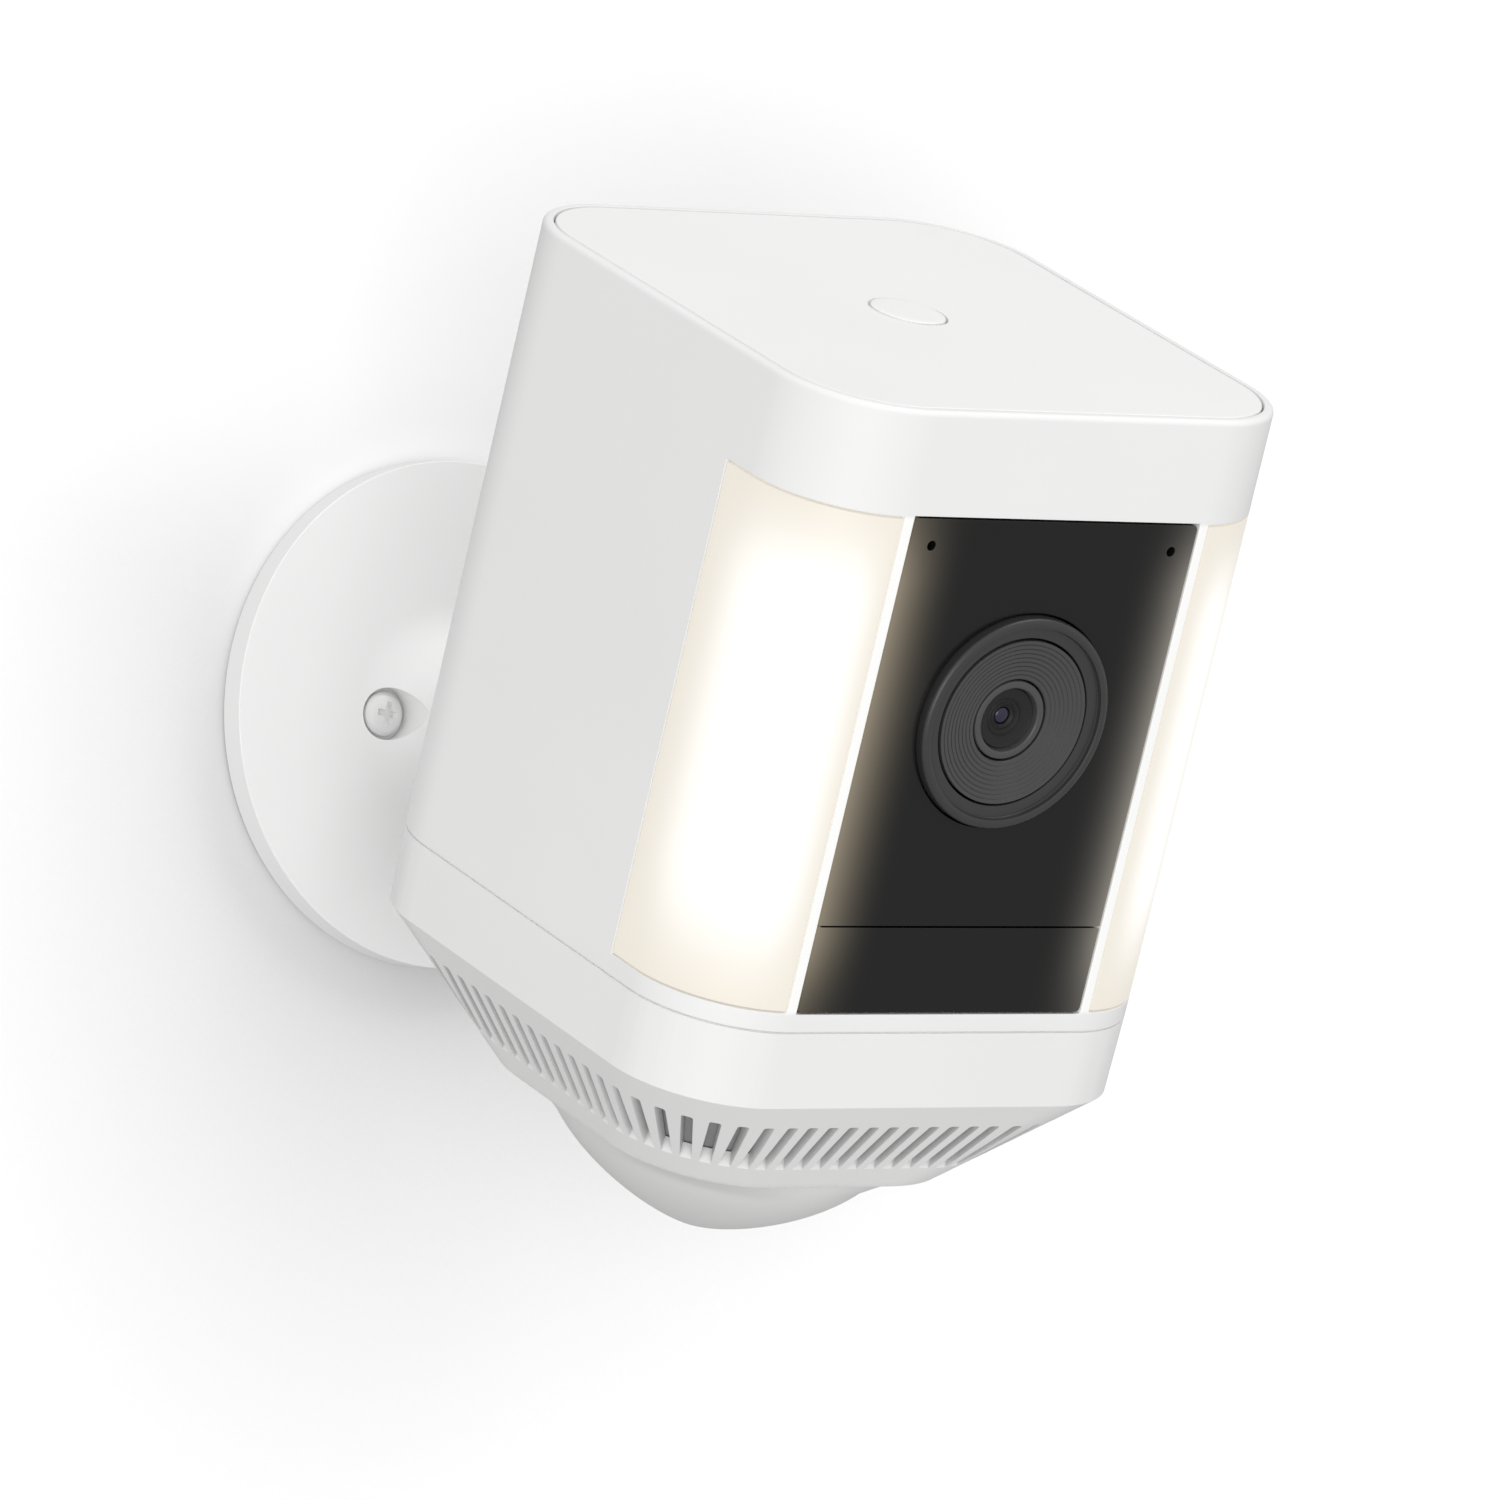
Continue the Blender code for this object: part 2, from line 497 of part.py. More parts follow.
prism("wifi_antenna", [(-19, 34.5), (-19, 33.9), (-18.4, 33.9), (18.4, 33.9), (19, 33.9), (19, 34.5),
                       (19, 40), (18.4, 40), (18.4, 34.5), (-18.4, 34.5), (-18.4, 40), (-19, 40)],
      52.0, 60.0, CONTACT, smooth=False, **head)
turned("speaker", [(0, -24.6), (8.2, -24.6), (9.6, -23.4), (9.6, -19.5), (6.0, -15.5), (6.0, -12.5),
                   (0, -12.5)], DARK, n=24, centre=(0, -31.0, 0), axis="z", **head)
for s, side in ((-1, "left"), (1, "right")):
    turned(side + "_microphone", [(0, -44.6), (2.0, -44.6), (2.0, -42.8), (0, -42.8)], STEEL, n=14,
           parent=tilt_axis, at=HEAD + Vector((s * MIC_X, 0, MIC_Z)))

sleeve_o = [(x, y + BAT_Y) for x, y in rounded(BAT_HX + 2.1, BAT_HY + 2.1, 3.5, 3)]
sleeve_i = [(x, y + BAT_Y) for x, y in rounded(BAT_HX + 0.5, BAT_HY + 0.5, 2.0, 3)]
bm = bmesh.new()
skin(bm, [[(x, y, z) for x, y in o] for o, z in
          ((sleeve_i, 48.4), (sleeve_i, BAT_Z0 - 0.6), (sleeve_o, BAT_Z0 - 0.6), (sleeve_o, 50.0))], False)
finish(bm, "battery_sleeve", DARK, smooth=False, **head)
bm = bmesh.new()
add_box(bm, (-10, BAT_Y - 5, 45.0), (10, BAT_Y + 5, 48.1))
finish(bm, "contact_block", CONTACT, smooth=False, **head)
tube("cover_seal", [(inset(2.6, 6), -27.6), (inset(2.6, 6), -26.7), (inset(4.6, 6), -26.7),
                    (inset(4.6, 6), -27.6)], RUBBER, **head)

pack = prism("battery_pack", [(x, y + BAT_Y) for x, y in rounded(BAT_HX, BAT_HY, 2.0, 3)],
             BAT_Z0, BAT_Z1, PACK, **battery)
bm = bmesh.new()
add_box(bm, (-8.3, 0, BAT_Z0 - 5), (8.3, BAT_Y - BAT_HY + 4.2, -8.0))
cut(pack, finish(bm, "tab_recess", None, **battery))
tab_axis = empty("tab_axis", (0, -BAT_HY, 0), battery_axis)
bm = bmesh.new()
add_box(bm, (-7.8, 0.2, 0.4), (7.8, 1.7, 15.4))
add_box(bm, (-7.8, 1.5, 0.4), (7.8, 2.2, 3.0))
bmesh.ops.delete(bm, geom=[v for v in bm.verts][8:], context="VERTS")
finish(bm, "battery_tab", OFFWHITE, smooth=False, parent=tab_axis)

# ---- bottom cover -------------------------------------------------------------------------------
def walk(dims, w):
    """Point and outward direction at distance W round an outline from the middle of its front."""
    a, b, r = dims
    bend = pi * r / 2
    quarter = a + b - 2 * r + bend
    k, u = int(w // quarter) % 4, w % quarter
    if k % 2:
        u = quarter - u
    if u <= a - r:
        x, y, nx, ny = u, -b, 0.0, -1.0
    elif u < a - r + bend:
        f = (u - a + r) / r
        x, y, nx, ny = a - r + r * sin(f), r - b - r * cos(f), sin(f), -cos(f)
    else:
        x, y, nx, ny = a, u - quarter, 1.0, 0.0
    sx, sy = (1 if k < 2 else -1), (1 if k in (0, 3) else -1)
    return x * sx, y * sy, nx * sx, ny * sy


def quarter_of(dims):
    return dims[0] + dims[1] - (2 - pi / 2) * dims[2]


def cone_dims(s, d=0.0):
    return tuple(p + (q - p) * s - d for p, q in zip(BAND, CONE))


def slot_edges(s):
    """Distances round the cone of both edges of every slot at height S, from the front's middle."""
    q, k = quarter_of(cone_dims(s)), 1.0 - 0.2 * (s - SLOT_TOP)
    first, last = PITCH_X * 5 * k, q - PITCH_Y * 5.5 * k
    half = [PITCH_X * i * k for i in range(1, 6)]
    half += [first + (last - first) * i / 8 for i in range(1, 8)]
    half += [q - PITCH_Y * (i + 0.5) * k for i in range(5, -1, -1)]
    mids = [0.0] + half + [2 * q - w for w in reversed(half)]
    mids += [w + 2 * q for w in mids]
    return [w + e * SLOT_W / 2 for w in mids for e in (-1, 1)]


def cone_at(s, d=0.0):
    z, dims = BAND_Z + (CONE_Z - BAND_Z) * s, cone_dims(s)
    round_it = [walk(dims, w) for w in slot_edges(s)]
    return [(x - d * nx, y - d * ny, z) for x, y, nx, ny in round_it]


def ring(dims, z):
    scale = quarter_of(dims) / quarter_of(cone_dims(SLOT_TOP))
    return [(*walk(dims, w * scale)[:2], z) for w in slot_edges(SLOT_TOP)]


top_dims = (HALF_W, HALF_D, CORNER_R)
opening = tuple(v + GAP for v in DOME)
levels = [ring(top_dims, Z_SEAM - 0.15), cone_at(0.0), cone_at(SLOT_TOP), cone_at(SLOT_END),
          cone_at(1.0), ring(opening, CONE_Z), ring(opening, CONE_Z + 1.8),
          cone_at(SLOT_END, COVER_T), cone_at(SLOT_TOP, COVER_T), cone_at(0.0, COVER_T),
          ring(tuple(v - COVER_T for v in top_dims), Z_SEAM - 0.15)]
bm = bmesh.new()
rings = [[bm.verts.new(p) for p in lv] for lv in levels]
n = len(rings[0])
for k in range(len(rings)):
    lo, hi = rings[k], rings[(k + 1) % len(rings)]
    for i in range(n):
        j = (i + 1) % n
        if k in (2, 7) and i % 2 == 0:
            continue                           # the slot itself
        bm.faces.new((lo[i], lo[j], hi[j], hi[i]))
for i in range(0, n, 2):                        # the four walls of each slot
    j = i + 1
    o0, o1, i1, i0 = rings[2], rings[3], rings[7], rings[8]
    bm.faces.new((o0[i], o0[j], i0[j], i0[i]))
    bm.faces.new((o1[j], o1[i], i1[i], i1[j]))
    bm.faces.new((o0[i], i0[i], i1[i], o1[i]))
    bm.faces.new((o0[j], o1[j], i1[j], i0[j]))
bottom_cover = finish(bm, "bottom_cover", WHITE, **cover)
tube("grille_screen", [(rounded(*cone_dims(s, d)), BAND_Z + (CONE_Z - BAND_Z) * s)
                       for s, d in ((0.12, COVER_T + 0.6), (0.60, COVER_T + 0.6),
                                    (0.60, COVER_T + 1.4), (0.12, COVER_T + 1.4))], SCREEN, **cover)
SCREW_Z = -34.0
tool = bmesh.new()
add_turned(tool, [(0, 40), (1.6, 40), (1.6, 45.9), (2.9, 45.9), (2.9, 50), (0, 50)], 14, (0, 0, SCREW_Z))
cut(bottom_cover, finish(tool, "security_hole", None, **cover))
screw_axis = empty("screw_axis", (0, 0, SCREW_Z - Z_SEAM), cover_axis)
turned("security_screw", [(0, 46.95), (2.0, 46.95), (2.6, 46.6), (2.6, 46.2), (1.3, 46.2), (1.3, 39.0),
                          (0, 38.2)], STEEL, n=14, parent=screw_axis)


def dome_loops(shrink, z0, depth, steps):
    loops = []
    for k in range(steps):
        u = k / steps
        s = (1 - u ** DOME_POWER) ** (1 / DOME_POWER)
        a, b, r = (v - shrink for v in DOME)
        blend = min(1.0, u * 4.5)
        loop = []
        for (x, y) in rounded(a, b, r, 7):
            q = Vector((x / a, y / b))
            q = q.lerp(q.normalized(), blend)
            loop.append((q.x * a * s, q.y * b * s, z0 - depth * u))
        loops.append(loop)
    return loops


outer = dome_loops(0.0, CONE_Z, DOME_DEPTH, 8)
inner = dome_loops(1.6, CONE_Z, DOME_DEPTH - 1.7, 6)
neck_o = [(x, y, CONE_Z + 3.0) for x, y, z in outer[0]]
neck_i = [(x, y, CONE_Z + 3.0) for x, y, z in inner[0]]
bm = bmesh.new()
rings = skin(bm, list(reversed(inner)) + [neck_i, neck_o] + outer, False)
bm.faces.ensure_lookup_table()
for cap, z in ((rings[0], CONE_Z - DOME_DEPTH + 1.7), (rings[-1], CONE_Z - DOME_DEPTH)):
    face = next(f for f in bm.faces if len(f.verts) == len(cap) and set(f.verts) == set(cap))
    got = bmesh.ops.poke(bm, faces=[face])["verts"]
    got[0].co = Vector((0, 0, z))
motion_dome = finish(bm, "motion_dome", DOMEW, **cover)

bm = bmesh.new()
add_box(bm, (-15, -15, -52.4), (15, 15, -51.0))
finish(bm, "motion_board", BOARD, smooth=False, **cover)
turned("motion_sensor", [(0, -57.2), (4.1, -57.2), (4.6, -56.7), (4.6, -53.4), (5.2, -53.4),
                         (5.2, -52.7), (0, -52.7)], STEEL, n=20, axis="z", **cover)
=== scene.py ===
"""Looks for the battery spotlight camera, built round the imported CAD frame.

Lengths are millimetres and angles degrees until build() turns them into metres.
Pieces of the camera head are drawn in the head frame of the CAD (x across, y from
front to back, z up, origin in the middle of the body) and TO_WORLD puts them on the
ball joint. Pieces of the wall mount are drawn with the wall plane at y = 0.
"""

from math import sin, cos, pi, sqrt, radians, atan2, hypot, acos, degrees, tan

import bpy
import bmesh
from mathutils import Matrix, Vector


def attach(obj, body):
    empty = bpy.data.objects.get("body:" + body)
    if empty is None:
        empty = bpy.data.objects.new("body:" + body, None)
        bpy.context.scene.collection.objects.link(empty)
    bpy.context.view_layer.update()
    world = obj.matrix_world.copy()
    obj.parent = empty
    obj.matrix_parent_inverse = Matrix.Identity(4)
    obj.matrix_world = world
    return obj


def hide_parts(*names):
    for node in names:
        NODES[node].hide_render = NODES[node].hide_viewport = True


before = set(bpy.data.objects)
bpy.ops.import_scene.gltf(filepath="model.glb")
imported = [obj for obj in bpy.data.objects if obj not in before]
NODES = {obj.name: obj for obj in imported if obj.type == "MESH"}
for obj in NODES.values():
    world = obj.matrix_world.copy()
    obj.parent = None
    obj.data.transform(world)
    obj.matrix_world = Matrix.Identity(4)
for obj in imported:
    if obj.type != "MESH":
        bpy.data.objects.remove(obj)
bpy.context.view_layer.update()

MM = 0.001
GAP = 0.3
HALF_W, HALF_D, CORNER_R = 45.0, 47.19, 17.8
WALL = 2.2
Z_TOP, Z_SEAM = 71.18, -27.85
CAP_INSET = 1.75
BUTTON_R, BUTTON_TOP = 5.93, 71.4
PANEL_HALF, PANEL_Z0, PANEL_Z1, PANEL_SEAM = 26.79, -24.79, 54.76, -10.61
LIGHT_X, LIGHT_Y, LIGHT_Z0, LIGHT_Z1 = 28.49, -23.03, -24.63, 54.54
MIC_X, MIC_Z, MIC_R = 22.5, 50.2, 0.8
LENS_Z, BEZEL_R, BEZEL_PROUD = 22.7, 16.9, 1.75
CONE_MOUTH_R, LENS_RING_R, LENS_DEPTH = 13.1, 6.3, 2.1
BAND_Z, BAND = -40.12, (44.84, 47.03, 17.9)
CONE_Z, CONE = -59.58, (29.85, 31.8, 18.47)
COVER_T = 2.4
PITCH_X, PITCH_Y, SLOT_W, SLOT_R = 3.82, 4.0, 1.9, 0.45
SLOT_TOP, SLOT_THROUGH, SLOT_RAMP = 0.245, 0.64, 0.77
DOME, DOME_DEPTH, DOME_POWER, DOME_FALL = (26.5, 29.7, 17.0), 19.36, 1.565, 1.318
WALL_SCREWS = (pi, pi / 3, -pi / 3)
REST_TILT = 21.2
BALL_HEAD, BALL_H, BALL_R = Vector((0.0, 44.31, -11.36)), 54.51, 8.5
STUD_R, SHAFT_R = 3.0, 4.5
CUP_FRONT, CUP_BACK, CUP_OUT, NOSE = 8.8, 9.7, 11.7, 5.5
DISC_R, DISC_T, FLARE_R0, FLARE_R = 40.6, 4.5, 17.8, 10.0
BOSS_TOP, BORE_R, FOOT_R = 20.0, 4.8, 7.1
SCREW_CIRCLE, SCREW_HEAD_R, SCREW_SHANK_R, COUNTERBORE_R = 12.8, 3.55, 1.9, 4.2
BAT_Y, BAT_HX, BAT_HY, BAT_Z0, BAT_Z1 = 17.3, 21.4, 12.2, -24.0, 44.0
CY, CZ = BALL_HEAD.y, BALL_HEAD.z

TO_WORLD = (Matrix.Translation((0, -BALL_H, 0)) @ Matrix.Rotation(radians(REST_TILT), 4, "X")
            @ Matrix.Translation(-BALL_HEAD))
AT_BALL = Matrix.Translation((0, -BALL_H, 0)) @ Matrix.Rotation(radians(REST_TILT), 4, "X")
HERE = Matrix.Identity(4)
HEAD_Z = Vector((0.0, -sin(radians(REST_TILT)), cos(radians(REST_TILT))))
HEAD_Y = Vector((0.0, cos(radians(REST_TILT)), sin(radians(REST_TILT))))
HEAD_ORIGIN = (TO_WORLD @ Vector((0, 0, 0))) * MM


# ---- node helpers -----------------------------------------------------------------
class Nodes:
    def __init__(self, name):
        self.mat = bpy.data.materials.new(name)
        self.mat.use_nodes = True
        self.tree = self.mat.node_tree
        self.bsdf = self.tree.nodes["Principled BSDF"]
        self.coord = self.new("ShaderNodeTexCoord").outputs["Object"]

    def new(self, kind, **props):
        n = self.tree.nodes.new(kind)
        for k, v in props.items():
            setattr(n, k, v)
        return n

    def link(self, a, b):
        self.tree.links.new(a, b)
        return b

    def noise(self, scale, detail=3.0, rough=0.5, stretch=None):
        n = self.new("ShaderNodeTexNoise")
        n.inputs["Scale"].default_value = scale
        n.inputs["Detail"].default_value = detail
        n.inputs["Roughness"].default_value = rough
        src = self.coord
        if stretch:
            m = self.new("ShaderNodeMapping")
            m.inputs["Scale"].default_value = stretch
            self.link(src, m.inputs["Vector"])
            src = m.outputs["Vector"]
        self.link(src, n.inputs["Vector"])
        return n.outputs["Fac"]

    def ramp(self, value, lo, hi, out_lo, out_hi, smooth=False):
        n = self.new("ShaderNodeMapRange")
        n.clamp = True
        if smooth:
            n.interpolation_type = "SMOOTHSTEP"
        for key, v in (("From Min", lo), ("From Max", hi), ("To Min", out_lo), ("To Max", out_hi)):
            n.inputs[key].default_value = v
        self.link(value, n.inputs["Value"])
        return n.outputs["Result"]

    def mix(self, fac, a, b):
        n = self.new("ShaderNodeMix", data_type="RGBA")
        for sock, v in ((n.inputs[0], fac), (n.inputs[6], a), (n.inputs[7], b)):
            if hasattr(v, "is_output"):
                self.link(v, sock)
            elif isinstance(v, (int, float)):
                sock.default_value = v
            else:
                sock.default_value = (*v, 1.0)
        return n.outputs[2]

    def math(self, how, a, b=None):
        n = self.new("ShaderNodeMath", operation=how)
        for sock, v in ((n.inputs[0], a), (n.inputs[1], b)):
            if v is None:
                continue
            if hasattr(v, "is_output"):
                self.link(v, sock)
            else:
                sock.default_value = v
        return n.outputs[0]

    def dot(self, axis):
        n = self.new("ShaderNodeVectorMath", operation="DOT_PRODUCT")
        self.link(self.coord, n.inputs[0])
        n.inputs[1].default_value = axis
        return n.outputs["Value"]

    def along(self, axis):
        """Distance from the head's origin along a head axis, in metres."""
        return self.math("SUBTRACT", self.dot(axis), HEAD_ORIGIN.dot(axis))

    def bump(self, height, strength, distance, after=None):
        n = self.new("ShaderNodeBump")
        n.inputs["Strength"].default_value = strength
        n.inputs["Distance"].default_value = distance
        self.link(height, n.inputs["Height"])
        if after is not None:
            self.link(after, n.inputs["Normal"])
        return n.outputs["Normal"]

    def set(self, **values):
        for k, v in values.items():
            sock = self.bsdf.inputs[k.replace("_", " ")]
            if hasattr(v, "is_output"):
                self.link(v, sock)
            elif isinstance(v, tuple):
                sock.default_value = (*v, 1.0) if len(v) == 3 else v
            else:
                sock.default_value = v
        return self


def plastic(name, rgb, rough, spread=0.012, grain=2600.0, depth=0.000012, strength=0.25,
            rough_spread=0.04, spec=0.5):
    """Moulded plastic: a fine spark-eroded grain, and a faint drift of tone over the part."""
    n = Nodes(name)
    drift = n.noise(22.0, 2.0)
    light = tuple(min(1.0, c * (1 + spread)) for c in rgb)
    dark = tuple(c * (1 - spread) for c in rgb)
    fine = n.noise(grain, 2.0, 0.6)
    tone = n.mix(n.ramp(drift, 0.3, 0.7, 0.0, 1.0), dark, light)
    n.set(Base_Color=tone, Roughness=n.ramp(fine, 0.3, 0.7, rough - rough_spread, rough + rough_spread),
          Normal=n.bump(fine, strength, depth))
    n.bsdf.inputs["Specular IOR Level"].default_value = spec
    return n


def metal(name, rgb, rough, stretch=(1.0, 14.0, 1.0), scale=900.0):
    n = Nodes(name)
    brush = n.noise(scale, 3.0, 0.6, stretch)
    tone = n.mix(n.ramp(brush, 0.3, 0.7, 0.0, 1.0), tuple(c * 0.88 for c in rgb), rgb)
    n.set(Base_Color=tone, Metallic=1.0, Roughness=n.ramp(brush, 0.3, 0.7, rough - 0.07, rough + 0.1),
          Normal=n.bump(brush, 0.25, 0.00001))
    return n


M = {}
n = plastic("white_shell", (0.845, 0.845, 0.84), 0.46)
# painted glow: the strips between the lamps and the black panel get a little emission, standing in for light spilling
# from the lamps' edges
x, y, z = n.math("ABSOLUTE", n.dot((1, 0, 0))), n.along(HEAD_Y), n.along(HEAD_Z)
painted_glow_strip = n.math("MULTIPLY", n.ramp(x, (PANEL_HALF - 0.3) * MM, PANEL_HALF * MM, 0.0, 1.0, True),
               n.ramp(x, LIGHT_X * MM, (LIGHT_X + 0.6) * MM, 1.0, 0.0, True))
tall = n.math("MULTIPLY", n.ramp(z, (LIGHT_Z0 - 0.4) * MM, (LIGHT_Z0 + 0.4) * MM, 0.0, 1.0, True),
              n.ramp(z, (LIGHT_Z1 - 0.4) * MM, (LIGHT_Z1 + 0.4) * MM, 1.0, 0.0, True))
front = n.ramp(y, (-HALF_D + 0.5) * MM, (-HALF_D + 2.0) * MM, 1.0, 0.0, True)
n.bsdf.inputs["Emission Color"].default_value = (1.0, 0.985, 0.95, 1.0)
n.set(Emission_Strength=n.math("MULTIPLY", n.math("MULTIPLY", n.math("MULTIPLY", painted_glow_strip, tall), front), 0.13))
M["shell"] = n.mat
M["cap"] = plastic("white_cap", (0.885, 0.885, 0.88), 0.44).mat
n = plastic("white_cover", (0.84, 0.84, 0.835), 0.46)
slot_shade_ao = n.new("ShaderNodeAmbientOcclusion")     # painted shade: base colour greyed deep inside the vent slots by ambient occlusion, not below the band
slot_shade_ao.samples = 8
slot_shade_ao.inputs["Distance"].default_value = 0.0035
tone = n.bsdf.inputs["Base Color"].links[0].from_socket
above = n.ramp(n.along(HEAD_Z), (BAND_Z - 1.0) * MM, BAND_Z * MM, 0.0, 1.0, True)
n.set(Base_Color=n.mix(n.math("MAXIMUM", n.ramp(slot_shade_ao.outputs["AO"], 0.15, 0.8, 0.0, 1.0, True), above),
                       (0.50, 0.50, 0.50), tone))
M["cover"] = n.mat
M["mount"] = plastic("white_mount", (0.89, 0.89, 0.887), 0.5, grain=2200.0).mat
M["liner"] = plastic("grey_liner", (0.34, 0.34, 0.34), 0.7, grain=1500.0, strength=0.4).mat
M["inner"] = plastic("inner_white", (0.74, 0.74, 0.72), 0.55, grain=1800.0).mat
M["dark"] = plastic("dark_plastic", (0.035, 0.035, 0.037), 0.42, spread=0.05, grain=2400.0,
                    strength=0.3, spec=0.4).mat
M["bezel"] = plastic("bezel_satin", (0.030, 0.030, 0.031), 0.33, spread=0.04, grain=3200.0,
                     strength=0.15, spec=0.45).mat
M["battery"] = plastic("battery_case", (0.075, 0.077, 0.082), 0.5, spread=0.06, grain=1500.0,
                       strength=0.5).mat
M["sleeve"] = plastic("sleeve_plastic", (0.03, 0.03, 0.032), 0.55, spread=0.06, grain=1700.0).mat
M["tab"] = plastic("tab_plastic", (0.62, 0.63, 0.62), 0.5, grain=1700.0).mat
M["steel"] = metal("satin_steel", (0.56, 0.565, 0.57), 0.32).mat
M["ball"] = metal("turned_steel", (0.62, 0.62, 0.63), 0.24, (1.0, 1.0, 1.0), 500.0).mat
M["gold"] = metal("contact_gold", (0.78, 0.58, 0.24), 0.28).mat

n = plastic("painted_screw", (0.80, 0.80, 0.797), 0.34, grain=1200.0, depth=0.00003, strength=0.3)
n.bsdf.inputs["Coat Weight"].default_value = 0.25
n.bsdf.inputs["Coat Roughness"].default_value = 0.2
M["screw"] = n.mat

# rubber: fine pores and a chalky drift
n = Nodes("rubber")
pores = n.new("ShaderNodeTexVoronoi")
pores.inputs["Scale"].default_value = 1500.0
n.link(n.coord, pores.inputs["Vector"])
n.set(Base_Color=n.mix(n.ramp(n.noise(60.0), 0.35, 0.65, 0.0, 1.0), (0.026, 0.026, 0.027), (0.045, 0.044, 0.043)),
      Roughness=n.ramp(n.noise(400.0), 0.3, 0.7, 0.7, 0.88),
      Normal=n.bump(pores.outputs["Distance"], 0.35, 0.00003))
M["rubber"] = n.mat

# circuit board: solder mask over copper tracks, with plated dots
n = Nodes("circuit_board")
tracks = n.new("ShaderNodeTexBrick")
tracks.inputs["Scale"].default_value = 240.0
tracks.inputs["Mortar Size"].default_value = 0.035
tracks.inputs["Color1"].default_value = (0.012, 0.085, 0.035, 1)
tracks.inputs["Color2"].default_value = (0.014, 0.1, 0.042, 1)
tracks.inputs["Mortar"].default_value = (0.03, 0.19, 0.075, 1)
n.link(n.coord, tracks.inputs["Vector"])
dots = n.new("ShaderNodeTexVoronoi")
dots.inputs["Scale"].default_value = 420.0
n.link(n.coord, dots.inputs["Vector"])
plated = n.ramp(dots.outputs["Distance"], 0.16, 0.20, 1.0, 0.0)
n.set(Base_Color=n.mix(plated, tracks.outputs["Color"], (0.62, 0.5, 0.26)),
      Metallic=plated, Roughness=n.ramp(n.noise(700.0), 0.3, 0.7, 0.3, 0.42),
      Normal=n.bump(tracks.outputs["Fac"], 0.3, 0.00002))
M["board"] = n.mat

# ribbon film: parallel conductors
n = Nodes("ribbon_film")
wave = n.new("ShaderNodeTexWave", bands_direction="X")
wave.inputs["Scale"].default_value = 330.0
n.link(n.coord, wave.inputs["Vector"])
n.set(Base_Color=n.mix(wave.outputs["Fac"], (0.30, 0.15, 0.035), (0.62, 0.38, 0.12)),
      Roughness=n.ramp(n.noise(300.0), 0.3, 0.7, 0.25, 0.4),
      Normal=n.bump(wave.outputs["Fac"], 0.4, 0.00002))
M["ribbon"] = n.mat

# motion dome: milky polythene, a little light goes through it
n = plastic("dome_white", (0.74, 0.74, 0.735), 0.5, grain=1500.0, strength=0.2)
n.bsdf.inputs["Subsurface Weight"].default_value = 0.15
n.bsdf.inputs["Subsurface Radius"].default_value = (0.002, 0.002, 0.002)
M["dome"] = n.mat

# black front panel: gloss black, with a painted glow along both long edges, emission standing in for the spill of the
# lamps
GLOW_EDGE, GLOW_REACH = PANEL_HALF * MM, 12.5 * MM


def black(name, rough=0.22, spec=0.24):
    n = Nodes(name)
    x = n.math("ABSOLUTE", n.dot((1, 0, 0)))
    z = n.along(HEAD_Z)
    turned = n.ramp(n.dot((1, 0, 0)), -0.01, 0.01, 0.0, 1.0, True)
    # painted glow: emission fading in toward the long edges, warmer and stronger on the left side than the right
    side = n.math("POWER", n.ramp(x, GLOW_EDGE - GLOW_REACH, GLOW_EDGE, 0.0, 1.0),
                  n.ramp(turned, 0.0, 1.0, 2.6, 3.3))
    ends = n.math("MULTIPLY", n.ramp(z, (PANEL_Z0 - 2) * MM, (PANEL_Z0 + 14) * MM, 0.35, 1.0, True),
                  n.ramp(z, (PANEL_Z1 - 12) * MM, (PANEL_Z1 + 2) * MM, 1.0, 0.35, True))
    face = n.math("MAXIMUM", n.ramp(n.along(HEAD_Y), -HALF_D * MM + 0.00004, -HALF_D * MM + 0.0003, 1.0, 0.0, True),
                  n.ramp(x, GLOW_EDGE - 0.0012, GLOW_EDGE - 0.0007, 0.0, 1.0, True))
    painted_lamp_spill = n.math("MULTIPLY", n.math("MULTIPLY", side, ends), face)
    haze = n.noise(35.0, 2.0)
    fine = n.noise(3000.0, 2.0)
    n.set(Base_Color=n.mix(haze, (0.0068, 0.0068, 0.0068), (0.0086, 0.0086, 0.0086)),
          Roughness=n.ramp(fine, 0.3, 0.7, rough - 0.03, rough + 0.03),
          Emission_Color=n.mix(turned, (1.0, 0.85, 0.62), (1.0, 0.92, 0.80)),
          Emission_Strength=n.math("MULTIPLY", painted_lamp_spill, n.ramp(turned, 0.0, 1.0, 0.26, 0.225)),
          Normal=n.bump(fine, 0.1, 0.000008))
    n.bsdf.inputs["Specular IOR Level"].default_value = spec
    return n.mat


M["black"] = black("black_panel")
M["window"] = black("black_window", 0.26, 0.24)


